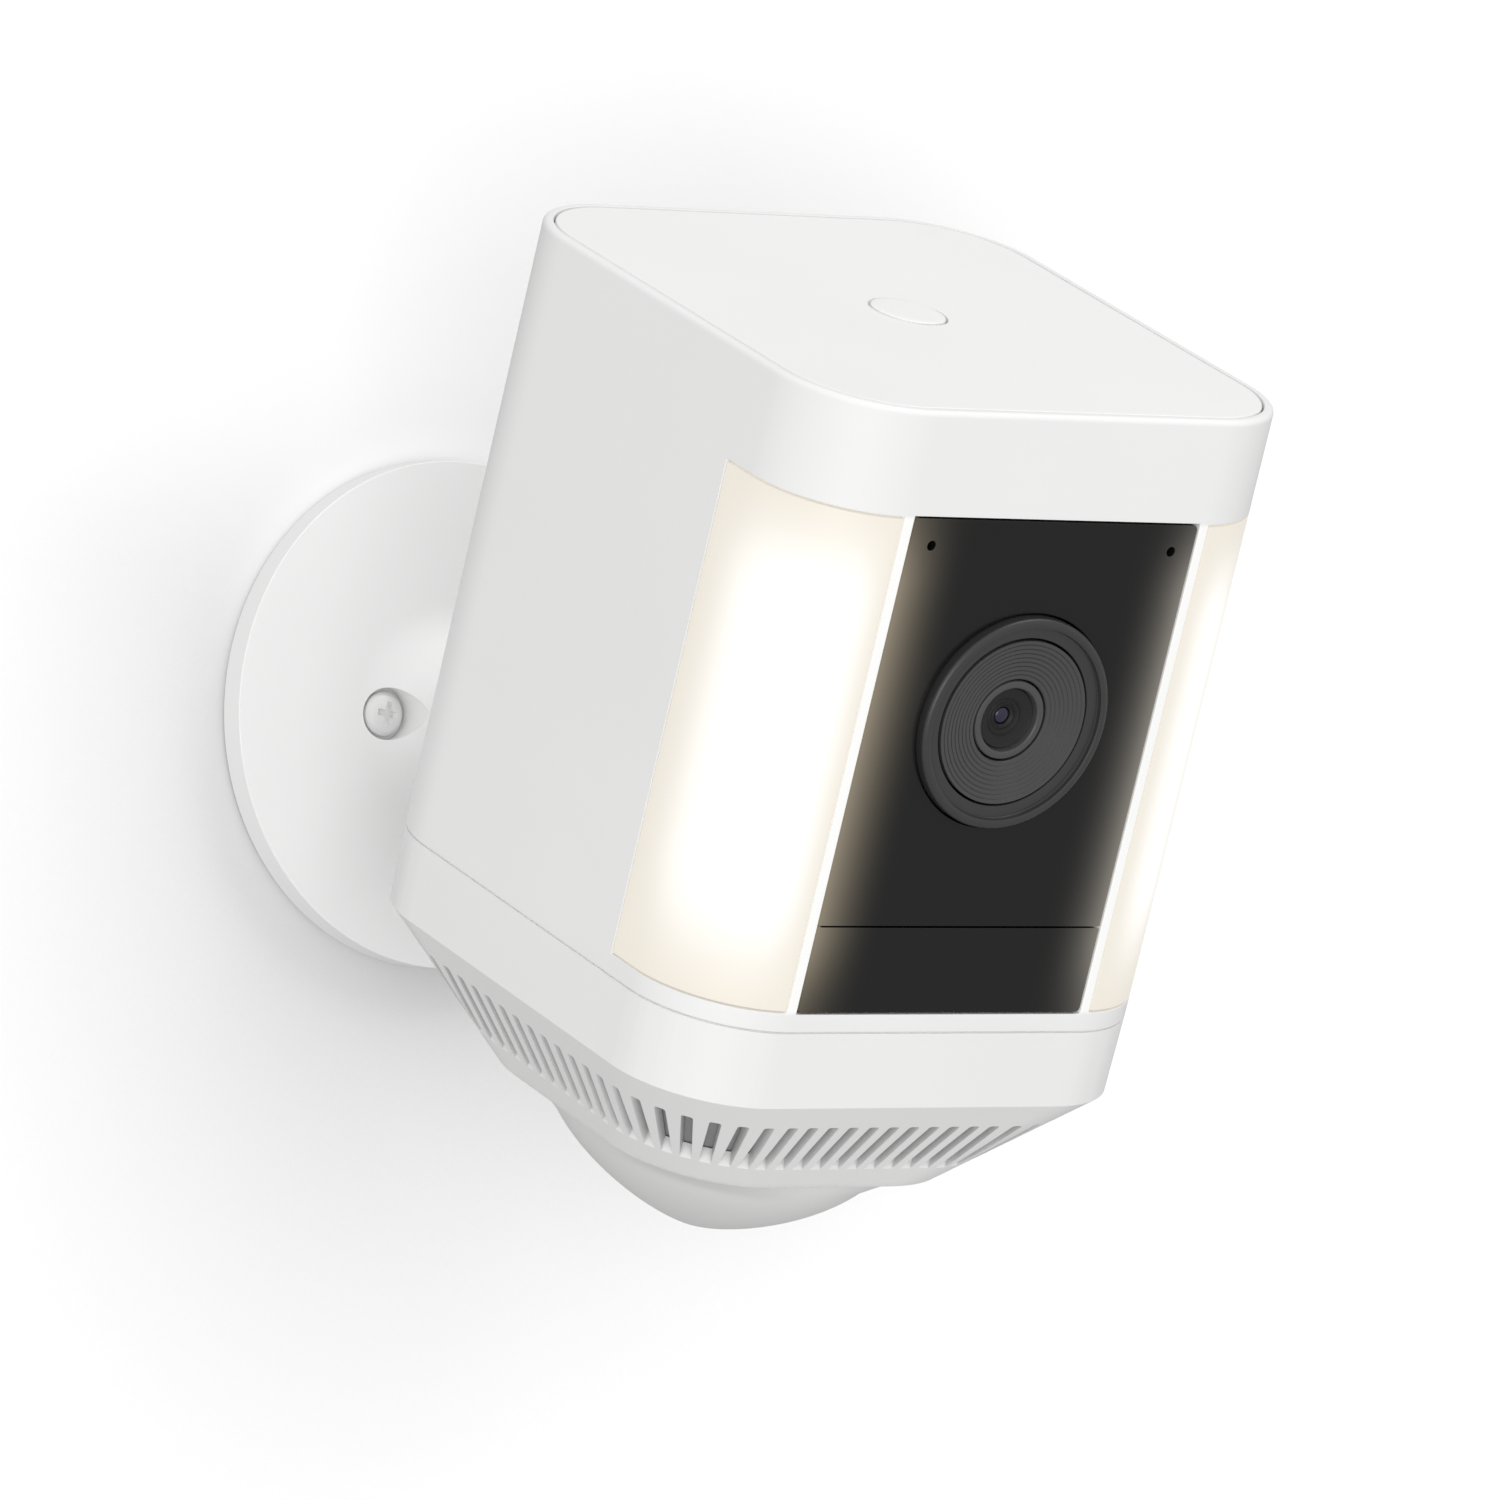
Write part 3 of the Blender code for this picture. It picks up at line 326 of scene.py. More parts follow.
# lamp cover: opal plastic lit from behind, white in the middle and warm at its edges
def opal(name):
    n = Nodes(name)
    x = n.math("ABSOLUTE", n.dot((1, 0, 0)))
    y, z = n.along(HEAD_Y), n.along(HEAD_Z)
    front = n.math("SUBTRACT", x, (LIGHT_X + GAP) * MM)
    rear = n.math("SUBTRACT", (LIGHT_Y - GAP) * MM, y)
    low = n.math("SUBTRACT", z, (LIGHT_Z0 + GAP) * MM)
    high = n.math("SUBTRACT", (LIGHT_Z1 - GAP) * MM, z)
    a = n.ramp(front, -0.0010, 0.0065, 0.0, 1.0, True)
    b = n.ramp(rear, -0.0010, 0.0160, 0.0, 1.0, True)
    c = n.ramp(low, -0.0010, 0.0220, 0.0, 1.0, True)
    d = n.ramp(high, -0.0010, 0.0170, 0.0, 1.0, True)
    lit = n.math("MULTIPLY", n.math("MULTIPLY", a, b), n.math("MULTIPLY", c, d))
    turned = n.ramp(n.dot((1, 0, 0)), -0.01, 0.01, 0.0, 1.0, True)
    round_side = n.ramp(y, (-HALF_D + 2.2) * MM, (-HALF_D + 6.0) * MM, 0.0, -0.55, True)
    lit = n.math("MULTIPLY", lit, n.math("ADD", n.math("MULTIPLY", turned, round_side), 1.0))
    fine = n.noise(1800.0, 2.0)
    n.set(Base_Color=n.mix(lit, (0.42, 0.40, 0.36), (0.48, 0.475, 0.46)),
          Roughness=n.ramp(fine, 0.3, 0.7, 0.36, 0.46),
          Emission_Color=n.mix(lit, (1.0, 0.93, 0.82), (1.0, 0.985, 0.955)),
          Emission_Strength=n.ramp(lit, 0.0, 1.0, 0.46, 0.66),
          Normal=n.bump(fine, 0.15, 0.00001))
    return n.mat


M["opal"] = opal("light_diffuser")

# lamp emitters' reflector
M["reflector"] = plastic("reflector_white", (0.86, 0.85, 0.82), 0.3, grain=1500.0).mat

# lens glass: near-black depth with a violet coating
n = Nodes("lens_glass")
film = n.new("ShaderNodeLayerWeight")
film.inputs["Blend"].default_value = 0.35
swirl = n.noise(260.0, 1.0)
n.set(Base_Color=n.mix(film.outputs["Facing"], (0.012, 0.009, 0.026), (0.003, 0.003, 0.005)),
      Roughness=n.ramp(swirl, 0.3, 0.7, 0.03, 0.07))
n.bsdf.inputs["Specular IOR Level"].default_value = 0.4
n.bsdf.inputs["Coat Weight"].default_value = 0.5
n.bsdf.inputs["Coat Roughness"].default_value = 0.02
n.bsdf.inputs["Coat Tint"].default_value = (0.72, 0.66, 1.0, 1.0)
M["glass"] = n.mat

# baffle: satin black with turned ridges in the mesh
M["baffle"] = plastic("baffle_satin", (0.048, 0.048, 0.049), 0.38, spread=0.03, grain=3200.0,
                      strength=0.12, spec=0.5).mat
M["ring"] = plastic("ring_satin", (0.054, 0.054, 0.055), 0.3, spread=0.03, grain=3200.0,
                    strength=0.1, spec=0.55).mat
M["deep"] = plastic("deep_black", (0.012, 0.012, 0.013), 0.5, spread=0.03, spec=0.3).mat


# ---- mesh helpers --------------------------------------------------------------------
def fillet(profile, radius, steps=3, closed=True):
    """Rounds the corners of an (r, t) polygon. radius is a number, or one per point."""
    n, out = len(profile), []
    for i, p in enumerate(profile):
        r = radius[i] if isinstance(radius, (list, tuple)) else radius
        a, b = profile[i - 1], profile[(i + 1) % n]
        if r <= 0 or (p[0] < 1e-6) or (not closed and i in (0, n - 1)):
            out.append(p)
            continue
        ux, uy = a[0] - p[0], a[1] - p[1]
        vx, vy = b[0] - p[0], b[1] - p[1]
        lu, lv = hypot(ux, uy), hypot(vx, vy)
        if lu < 1e-9 or lv < 1e-9:
            out.append(p)
            continue
        ux, uy, vx, vy = ux / lu, uy / lu, vx / lv, vy / lv
        ang = acos(max(-1.0, min(1.0, ux * vx + uy * vy)))
        if ang > radians(155):
            out.append(p)
            continue
        cut_len = min(r / tan(ang / 2), 0.45 * lu, 0.45 * lv)
        rr = cut_len * tan(ang / 2)
        bx, by = ux + vx, uy + vy
        lb = hypot(bx, by)
        cx, cy = p[0] + bx / lb * rr / sin(ang / 2), p[1] + by / lb * rr / sin(ang / 2)
        s = (p[0] + ux * cut_len, p[1] + uy * cut_len)
        e = (p[0] + vx * cut_len, p[1] + vy * cut_len)
        a0, a1 = atan2(s[1] - cy, s[0] - cx), atan2(e[1] - cy, e[0] - cx)
        turn = a1 - a0
        while turn > pi:
            turn -= 2 * pi
        while turn < -pi:
            turn += 2 * pi
        for k in range(steps + 1):
            t = a0 + turn * k / steps
            out.append((max(cx + rr * cos(t), 0.0), cy + rr * sin(t)))
    return out


def lathe(bm, profile, n=96, centre=(0, 0, 0), axis="y", shape=None, lead=0.0):
    """Turns a closed (r, t) profile; r = 0 is a pole. shape(angle, r, t) scales the radius."""
    cx, cy, cz = centre
    rings = []
    for r, t in profile:
        if r < 1e-6:
            p = (cx, cy + t, cz) if axis == "y" else (cx, cy, cz + t)
            rings.append([bm.verts.new(p)])
            continue
        ring = []
        for i in range(n):
            ang = 2 * pi * i / n
            rr = r * (shape(ang, r, t) if shape else 1.0)
            if axis == "y":
                ring.append(bm.verts.new((cx + rr * cos(ang), cy + t, cz + rr * sin(ang))))
            else:
                ring.append(bm.verts.new((cx + rr * cos(ang), cy + rr * sin(ang), cz + t)))
        rings.append(ring)
    for k in range(len(rings)):
        lo, hi = rings[k], rings[(k + 1) % len(rings)]
        if len(lo) == 1 and len(hi) == 1:
            continue
        for i in range(n):
            j = (i + 1) % n
            if len(lo) == 1:
                bm.faces.new((lo[0], hi[j], hi[i]))
            elif len(hi) == 1:
                bm.faces.new((lo[i], lo[j], hi[0]))
            else:
                bm.faces.new((lo[i], lo[j], hi[j], hi[i]))
    return bm


def rounded(a, b, r, nc=10):
    pts = []
    for cx, cy, a0 in ((a - r, b - r, 0), (-(a - r), b - r, 90),
                       (-(a - r), -(b - r), 180), (a - r, -(b - r), 270)):
        for i in range(nc + 1):
            t = radians(a0 + 90.0 * i / nc)
            pts.append((cx + r * cos(t), cy + r * sin(t)))
    return pts


def arc(cx, cy, r, a0, a1, n):
    return [(cx + r * cos(radians(a0 + (a1 - a0) * i / n)),
             cy + r * sin(radians(a0 + (a1 - a0) * i / n))) for i in range(n + 1)]


def circle(cx, cy, r, n=64):
    return [(cx + r * cos(2 * pi * i / n), cy + r * sin(2 * pi * i / n)) for i in range(n)]


def evaluated(ob):
    """The mesh of ob with its modifiers applied, as a bmesh; ob is removed."""
    bpy.context.view_layer.update()
    dg = bpy.context.evaluated_depsgraph_get()
    me = bpy.data.meshes.new_from_object(ob.evaluated_get(dg), depsgraph=dg)
    bm = bmesh.new()
    bm.from_mesh(me)
    data = ob.data
    bpy.data.objects.remove(ob, do_unlink=True)
    bpy.data.meshes.remove(me)
    if data.users == 0:
        (bpy.data.curves if isinstance(data, bpy.types.Curve) else bpy.data.meshes).remove(data)
    return bm


def loose(bm, name="tmp"):
    bmesh.ops.recalc_face_normals(bm, faces=bm.faces)
    me = bpy.data.meshes.new(name)
    bm.to_mesh(me)
    bm.free()
    ob = bpy.data.objects.new(name, me)
    bpy.context.scene.collection.objects.link(ob)
    return ob


def carve(bm, *tools, how="DIFFERENCE"):
    """Cuts (or joins) closed bmeshes with the exact solver."""
    ob = loose(bm)
    made = []
    for t in tools:
        tool = loose(t, "tool")
        mod = ob.modifiers.new("cut", "BOOLEAN")
        mod.operation, mod.solver, mod.object = how, "EXACT", tool
        made.append(tool)
    out = evaluated(ob)
    for t in made:
        me = t.data
        bpy.data.objects.remove(t, do_unlink=True)
        bpy.data.meshes.remove(me)
    return out


def plate(outer, holes, y0, y1, edge=0.2, plane="xz", nseg=2):
    """A flat plate with rounded edges: an outline with holes, between two planes."""
    cu = bpy.data.curves.new("plate", "CURVE")
    cu.dimensions = "2D"
    cu.fill_mode = "BOTH"
    for pts in [outer] + list(holes):
        sp = cu.splines.new("POLY")
        sp.points.add(len(pts) - 1)
        for p, (x, y) in zip(sp.points, pts):
            p.co = (x, y, 0, 1)
        sp.use_cyclic_u = True
    cu.extrude = (y1 - y0) / 2 - edge
    cu.bevel_depth = edge
    cu.bevel_resolution = nseg
    cu.offset = -edge
    ob = bpy.data.objects.new("plate", cu)
    bpy.context.scene.collection.objects.link(ob)
    bm = evaluated(ob)
    bmesh.ops.remove_doubles(bm, verts=bm.verts, dist=1e-5)
    for v in bm.verts:
        x, y, z = v.co
        v.co = (x, (y0 + y1) / 2 - z, y) if plane == "xz" else (x, y, (y0 + y1) / 2 + z)
    return bm


def block(lo, hi, edge=0.15, turn=None, about=None, segs=2):
    bm = bmesh.new()
    bmesh.ops.create_cube(bm, size=1.0)
    c = Vector([(p + q) / 2 for p, q in zip(lo, hi)])
    s = [abs(q - p) for p, q in zip(lo, hi)]
    for v in bm.verts:
        v.co = Vector((v.co.x * s[0], v.co.y * s[1], v.co.z * s[2]))
    if edge:
        bmesh.ops.bevel(bm, geom=bm.edges[:], offset=edge, offset_type="OFFSET", segments=segs,
                        profile=0.5, affect="EDGES", clamp_overlap=True)
    for v in bm.verts:
        if turn:
            v.co = turn @ v.co
        v.co += c
    return bm


def merge(*parts):
    """Several separate closed bodies in one mesh."""
    out = bmesh.new()
    for p in parts:
        me = bpy.data.meshes.new("part")
        p.to_mesh(me)
        p.free()
        out.from_mesh(me)
        bpy.data.meshes.remove(me)
    return out


def build(name, bm, mat, body, nodes=(), place=TO_WORLD, edge=0.0, segs=2, limit=40,
          sharp=38, weighted=True):
    """A finished piece: edges eased, millimetres to metres, smooth, riding on its body."""
    bmesh.ops.remove_doubles(bm, verts=bm.verts, dist=1e-4)
    bmesh.ops.recalc_face_normals(bm, faces=bm.faces)
    if edge:
        bm.normal_update()
        picked = [e for e in bm.edges if len(e.link_faces) == 2
                  and e.calc_face_angle(0) > radians(limit)]
        bmesh.ops.bevel(bm, geom=picked, offset=edge, offset_type="OFFSET", segments=segs,
                        profile=0.5, affect="EDGES", clamp_overlap=True)
    bmesh.ops.transform(bm, matrix=place, verts=bm.verts)
    for v in bm.verts:
        v.co *= MM
    if bm.calc_volume(signed=True) < 0:
        bmesh.ops.reverse_faces(bm, faces=bm.faces)
    me = bpy.data.meshes.new(name)
    bm.to_mesh(me)
    bm.free()
    me.shade_smooth()
    me.set_sharp_from_angle(angle=radians(sharp))
    ob = bpy.data.objects.new(name, me)
    bpy.context.scene.collection.objects.link(ob)
    me.materials.append(mat)
    if weighted:
        w = ob.modifiers.new("normals", "WEIGHTED_NORMAL")
        w.mode = "FACE_AREA"
        w.weight = 50
        w.keep_sharp = True
    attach(ob, body)
    if nodes:
        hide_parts(*nodes)
    return ob


# ---- outline of the body -----------------------------------------------------------------
def spread(a, b, n):
    return [a + (b - a) * i / n for i in range(n + 1)]


def at(dims, st):
    """A station round the outline: (side or corner, which, share along it)."""
    a, b, r = dims
    kind, k, t = st
    if kind == "side":
        ends = ((a, -(b - r), a, b - r), (a - r, b, -(a - r), b),
                (-a, b - r, -a, -(b - r)), (-(a - r), -b, a - r, -b))[k]
        return (ends[0] + (ends[2] - ends[0]) * t, ends[1] + (ends[3] - ends[1]) * t)
    cx, cy = ((a - r, b - r), (-(a - r), b - r), (-(a - r), -(b - r)), (a - r, -(b - r)))[k]
    ang = radians(90.0 * k + 90.0 * t)
    return (cx + r * cos(ang), cy + r * sin(ang))


def body_dims(d):
    return (HALF_W - d, HALF_D - d, CORNER_R - d)


def skin(bm, rows, skip=None, closed_rows=False):
    """Quads between equal closed loops of vertices; skip(level, column) leaves a cell out."""
    n = len(rows[0])
    pairs = list(zip(range(len(rows)), list(range(1, len(rows))) + [0]))
    if not closed_rows:
        pairs = pairs[:-1]
    for j, j2 in pairs:
        for i in range(n):
            i2 = (i + 1) % n
            if skip and skip(j, i):
                continue
            bm.faces.new((rows[j][i], rows[j][i2], rows[j2][i2], rows[j2][i]))


# ---- main housing ---------------------------------------------------------------------------
def housing():
    straight_x, straight_y = HALF_W - CORNER_R, HALF_D - CORNER_R
    light_t = (90 - degrees(acos((LIGHT_X - straight_x) / CORNER_R))) / 90   # share past the front
    NC = 26
    patch = 14.0
    stations = []
    # right flank, front to back
    y_cut = (LIGHT_Y + straight_y) / (2 * straight_y)
    side_r = sorted(set([0.0, y_cut, 1.0] + spread(y_cut, 1.0, 6)))
    stations += [("side", 0, t) for t in side_r]
    stations += [("corner", 0, t) for t in spread(0, 1, NC)[1:-1]]
    xs = [straight_x, (straight_x + patch) / 2] + spread(patch, -patch, 16) + [-(straight_x + patch) / 2, -straight_x]
    stations += [("side", 1, (straight_x - x) / (2 * straight_x)) for x in xs]
    stations += [("corner", 1, t) for t in spread(0, 1, NC)[1:-1]]
    stations += [("side", 2, 1 - t) for t in reversed(side_r)]
    stations += [("corner", 2, t) for t in spread(0, 1, NC)[1:-1] if t < 1 - light_t - 0.01]
    stations += [("corner", 2, 1 - light_t)]
    xs = [-straight_x, -PANEL_HALF] + spread(-PANEL_HALF, PANEL_HALF, 8)[1:-1] + [PANEL_HALF, straight_x]
    stations += [("side", 3, (x + straight_x) / (2 * straight_x)) for x in xs]
    stations += [("corner", 3, light_t)]
    stations += [("corner", 3, t) for t in spread(0, 1, NC)[1:-1] if t > light_t + 0.01]

    zs = sorted(set([round(z, 4) for z in
                     [Z_SEAM + 0.15, PANEL_Z0, LIGHT_Z0, LIGHT_Z1, PANEL_Z1]
                     + spread(CZ - patch, CZ + patch, 16) + spread(CZ + patch, LIGHT_Z1, 8)]))
    top = [(0, z) for z in (58.0, 64.0, Z_TOP - 0.9)]
    top += [(0.9 - 0.9 * cos(radians(a)), Z_TOP - 0.9 + 0.9 * sin(radians(a))) for a in (18, 36, 54, 72)]
    top += [(0.9, Z_TOP), (CAP_INSET - 0.4, Z_TOP), (CAP_INSET - 0.23, Z_TOP - 0.06),
            (CAP_INSET - 0.15, Z_TOP - 0.25), (CAP_INSET - 0.15, 68.9), (4.0, 68.9), (4.0, 66.9),
            (WALL, 65.0)]
    bm = bmesh.new()

    def row(d, z):
        return [bm.verts.new((*at(body_dims(d), s), z)) for s in stations]

    outer = [row(0, z) for z in zs]
    cap = [row(d, z) for d, z in top]
    inner = [row(WALL, z) for z in zs]

    def where(s, j):
        """Which opening the cell between this station and level and the next belongs to."""
        kind, k, t = s
        z = zs[j]
        if kind == "side" and k == 3:
            x = at(body_dims(0), s)[0]
            return -PANEL_HALF - 1e-4 <= x < PANEL_HALF - 1e-4 and PANEL_Z0 - 1e-4 <= z < PANEL_Z1 - 1e-4
        if LIGHT_Z0 - 1e-4 <= z < LIGHT_Z1 - 1e-4:
            if (kind, k) == ("side", 0) and t < y_cut - 1e-6:
                return True
            if (kind, k) == ("corner", 3) and t >= light_t - 1e-6:
                return True
            if (kind, k) == ("side", 2) and t >= 1 - y_cut - 1e-6:
                return True
            if (kind, k) == ("corner", 2) and t < 1 - light_t - 1e-6:
                return True
        if (kind, k) == ("side", 1):
            x = at(body_dims(0), s)[0]
            return -patch + 1e-4 < x <= patch + 1e-4 and CZ - patch - 1e-4 <= z < CZ + patch - 1e-4
        return False

    n = len(stations)
    holes = {(j, i) for j in range(len(zs) - 1) for i in range(n) if where(stations[i], j)}
    # the cell is named by its first station, so a flank's light cell ends at the cut
    skin(bm, outer, lambda j, i: (j, i) in holes)
    skin(bm, [outer[-1]] + cap)
    skin(bm, [cap[-1]] + list(reversed(inner)), lambda j, i: j > 0 and (len(zs) - 1 - j, i) in holes)
    skin(bm, [inner[0], outer[0]])
    back = []                                    # border edges of the round hole's patch
    for j, i in sorted(holes):
        i2 = (i + 1) % n
        round_one = stations[i][0] == "side" and stations[i][1] == 1
        for (jj, ii), (pa, pb) in (((j - 1, i), ((j, i), (j, i2))), ((j + 1, i), ((j + 1, i2), (j + 1, i))),
                                   ((j, (i - 1) % n), ((j + 1, i), (j, i))), ((j, i2), ((j, i2), (j + 1, i2)))):
            if (jj, ii) in holes:
                continue
            if round_one:
                back.append((pa, pb))
            else:
                bm.faces.new((outer[pa[0]][pa[1]], outer[pb[0]][pb[1]], inner[pb[0]][pb[1]], inner[pa[0]][pa[1]]))
    rim = {}
    for p in {q for e in back for q in e}:
        loops = []
        for grid in (outer, inner):
            v = grid[p[0]][p[1]].co
            ang = atan2(v.z - CZ, v.x)
            mid_r = (12.4 + hypot(v.z - CZ, v.x)) / 2
            loops.append([bm.verts.new((r * cos(ang), v.y, CZ + r * sin(ang))) for r in (mid_r, 12.0)])
        rim[p] = loops
    for pa, pb in back:
        for g, grid in enumerate((outer, inner)):
            ma, ra = rim[pa][g]
            mb, rb = rim[pb][g]
            bm.faces.new((grid[pa[0]][pa[1]], grid[pb[0]][pb[1]], mb, ma))
            bm.faces.new((ma, mb, rb, ra))
        bm.faces.new((rim[pa][0][1], rim[pb][0][1], rim[pb][1][1], rim[pa][1][1]))
    return bm


build("housing_shell", housing(), M["shell"], "camera", ["main_housing"],
      edge=0.16, segs=2, limit=50)


# ---- top cap and setup button ----------------------------------------------------------------
def cap():
    stations = []
    for k in range(4):
        stations += [("side", k, t) for t in spread(0, 1, 14)]
        stations += [("corner", k, t) for t in spread(0, 1, 26)[1:-1]]
    d0 = CAP_INSET + 0.15
    hole = BUTTON_R + GAP
    bm = bmesh.new()
    rows = []
    for d, z in ((d0, 69.2), (d0, Z_TOP - 0.35), (d0 + 0.05, Z_TOP - 0.18), (d0 + 0.17, Z_TOP - 0.05),
                 (d0 + 0.34, Z_TOP)):
        rows.append([bm.verts.new((*at(body_dims(d), s), z)) for s in stations])
    rings = []
    for r, z in ((22.0, Z_TOP), (hole + 0.28, Z_TOP), (hole + 0.1, Z_TOP - 0.05), (hole, Z_TOP - 0.22),
                 (hole, 69.2), (22.0, 69.2)):
        ring = []
        for s in stations:
            x, y = at(body_dims(d0), s)
            ang = atan2(y, x)
            ring.append(bm.verts.new((r * cos(ang), r * sin(ang), z)))
        rings.append(ring)
    skin(bm, rows + rings, closed_rows=True)
    return bm


build("cap_plate", cap(), M["cap"], "camera", ["top_cap"])

key = [(0, 0.0), (2.6, -0.01), (4.6, -0.03), (5.25, -0.05), (BUTTON_R - 0.3, -0.09),
       (BUTTON_R - 0.08, -0.2), (BUTTON_R, -0.45), (BUTTON_R, -2.6), (7.4, -2.6), (7.4, -3.8), (1.5, -3.8),
       (1.5, -5.9), (0, -5.9)]
bm = lathe(bmesh.new(), key, 96, (0, 0, BUTTON_TOP), axis="z")
build("setup_key", bm, M["cap"], "button", ["setup_button"])

# ---- black front: camera panel and sensor window -------------------------------------------------
def front_outline(z0, z1, r_low, r_high, half=PANEL_HALF - GAP):
    pts = []
    for cx, cz, r, a0 in ((half - r_high, z1 - r_high, r_high, 0), (-(half - r_high), z1 - r_high, r_high, 90),
                          (-(half - r_low), z0 + r_low, r_low, 180), (half - r_low, z0 + r_low, r_low, 270)):
        for i in range(6):
            t = radians(a0 + 90.0 * i / 5)
            pts.append((cx + r * cos(t), cz + r * sin(t)))
    return pts


bm = plate(front_outline(PANEL_SEAM + 0.15, PANEL_Z1 - GAP, 0.15, 0.75),
           [circle(0, LENS_Z, BEZEL_R + GAP, 128), circle(MIC_X, MIC_Z, MIC_R, 32),
            circle(-MIC_X, MIC_Z, MIC_R, 32)], -HALF_D, -45.0, 0.12)
build("front_panel", bm, M["black"], "camera", ["camera_panel"])
bm = plate(front_outline(PANEL_Z0 + GAP, PANEL_SEAM - 0.15, 0.75, 0.15), [], -HALF_D, -45.0, 0.12)
build("motion_window", bm, M["window"], "camera", ["sensor_window"])


# ---- lamp covers -----------------------------------------------------------------------------------
def diffuser(sign):
    straight_x, straight_y = HALF_W - CORNER_R, HALF_D - CORNER_R
    a0 = degrees(acos((LIGHT_X + GAP - straight_x) / CORNER_R))
    path = [("flank", y) for y in spread(LIGHT_Y - GAP, -straight_y, 6)[:-1]]
    path += [("arc", a) for a in spread(0, a0, 30)]

    def p(st, d):
        kind, v = st
        if kind == "flank":
            return (sign * (HALF_W - d), v)
        r = CORNER_R - d
        return (sign * (straight_x + r * cos(radians(v))), -(straight_y + r * sin(radians(v))))

    bm = bmesh.new()
    zs = spread(LIGHT_Z0 + GAP, LIGHT_Z1 - GAP, 24)
    grids = [[[bm.verts.new((*p(s, d), z)) for s in path] for z in zs] for d in (0.0, WALL)]
    for g in grids:
        for j in range(len(zs) - 1):
            for i in range(len(path) - 1):
                bm.faces.new((g[j][i], g[j][i + 1], g[j + 1][i + 1], g[j + 1][i]))
    o, q = grids
    for j in range(len(zs) - 1):
        for i in (0, len(path) - 1):
            bm.faces.new((o[j][i], o[j + 1][i], q[j + 1][i], q[j][i]))
    for i in range(len(path) - 1):
        for j in (0, len(zs) - 1):
            bm.faces.new((o[j][i], o[j][i + 1], q[j][i + 1], q[j][i]))
    return bm


for sign, side in ((-1, "left"), (1, "right")):
    build(side + "_lamp_cover", diffuser(sign), M["opal"], "camera", [side + "_light_diffuser"],
          edge=0.18, segs=2, limit=50)

# ---- lens stack ------------------------------------------------------------------------------------------
F = -HALF_D - BEZEL_PROUD
LENS = (0, 0, LENS_Z)
bezel = [(BEZEL_R, -43.6), (BEZEL_R, F + 0.75), (BEZEL_R - 0.12, F + 0.38), (BEZEL_R - 0.42, F + 0.1),
         (BEZEL_R - 0.85, F), (BEZEL_R - 1.25, F + 0.05), (BEZEL_R - 1.5, F + 0.2),
         (BEZEL_R - 1.56, F + 0.8), (BEZEL_R - 1.7, F + 0.98), (BEZEL_R - 2.0, F + 1.0),
         (13.75, F + 1.14), (13.5, F + 1.22), (13.4, F + 1.45), (13.4, -43.6)]
build("lens_bezel_ring", lathe(bmesh.new(), bezel, 160, LENS), M["bezel"], "camera", ["lens_bezel"])
# stepped baffle: eight fine ridges between the mouth and the lens ring
steps, r0, r1, y0, y1 = 9, CONE_MOUTH_R, LENS_RING_R + GAP, F + 1.12, F + LENS_DEPTH
ridged = []
for k in range(steps):
    ra, rb = r0 + (r1 - r0) * k / steps, r0 + (r1 - r0) * (k + 1) / steps
    ya, yb = y0 + (y1 - y0) * k / steps, y0 + (y1 - y0) * (k + 1) / steps
    ridged += [(ra, ya), (ra - 0.05, ya - 0.09), (rb + 0.15, yb - 0.13), (rb + 0.07, yb - 0.02)]
ridged += [(r1, y1), (r1, y1 + 1.2), (r0, y1 + 0.9)]
build("lens_baffle_cone", lathe(bmesh.new(), ridged, 144, LENS), M["baffle"], "camera", ["lens_baffle"],
      sharp=25, weighted=False)
ring = [(LENS_RING_R, F + LENS_DEPTH + 0.2), (LENS_RING_R - 0.12, F + LENS_DEPTH - 0.02),
        (LENS_RING_R - 0.35, F + LENS_DEPTH - 0.1), (5.35, F + LENS_DEPTH - 0.08), (5.1, F + LENS_DEPTH + 0.05),
        (4.85, F + LENS_DEPTH + 0.8), (4.8, F + LENS_DEPTH + 2.6), (LENS_RING_R, F + LENS_DEPTH + 2.6)]
build("lens_front_ring", lathe(bmesh.new(), fillet(ring, 0.06, 2), 128, LENS), M["ring"], "camera",
      ["lens_ring"], sharp=50)
G = F + LENS_DEPTH + 1.0
# funnel behind the ring, with one thin bright lip, then the coated front element
funnel = [(4.75, G - 0.25), (4.6, G - 0.1), (3.05, G + 0.35), (2.95, G + 0.2), (2.78, G + 0.2),
          (2.7, G + 0.42), (2.25, G + 0.6), (2.15, G + 0.45), (1.98, G + 0.45), (1.9, G + 0.7), (1.4, G + 0.92),
          (1.35, G + 1.3), (4.75, G + 1.6)]
build("lens_funnel", lathe(bmesh.new(), fillet(funnel, 0.05, 2), 96, LENS), M["deep"], "camera", [],
      sharp=50)
element = [(0, G + 0.62)] + [(1.33 * sin(radians(a)), G + 0.62 + 0.5 * (1 - cos(radians(a))))
                            for a in range(8, 91, 8)] + [(1.33, G + 1.25), (0, G + 1.25)]
build("lens_element", lathe(bmesh.new(), element, 96, LENS), M["glass"], "camera", ["lens_glass"])

# microphone gaskets: a small dark cup behind each hole
for sign, side in ((-1, "left"), (1, "right")):
    mic = [(0, -44.75), (0.5, -44.7), (1.2, -44.6), (2.0, -44.6), (2.0, -42.8), (0, -42.8)]
    build(side + "_mic_can", lathe(bmesh.new(), fillet(mic, 0.12, 2), 40, (sign * MIC_X, 0, MIC_Z)),
          M["rubber"], "camera", [side + "_microphone"])


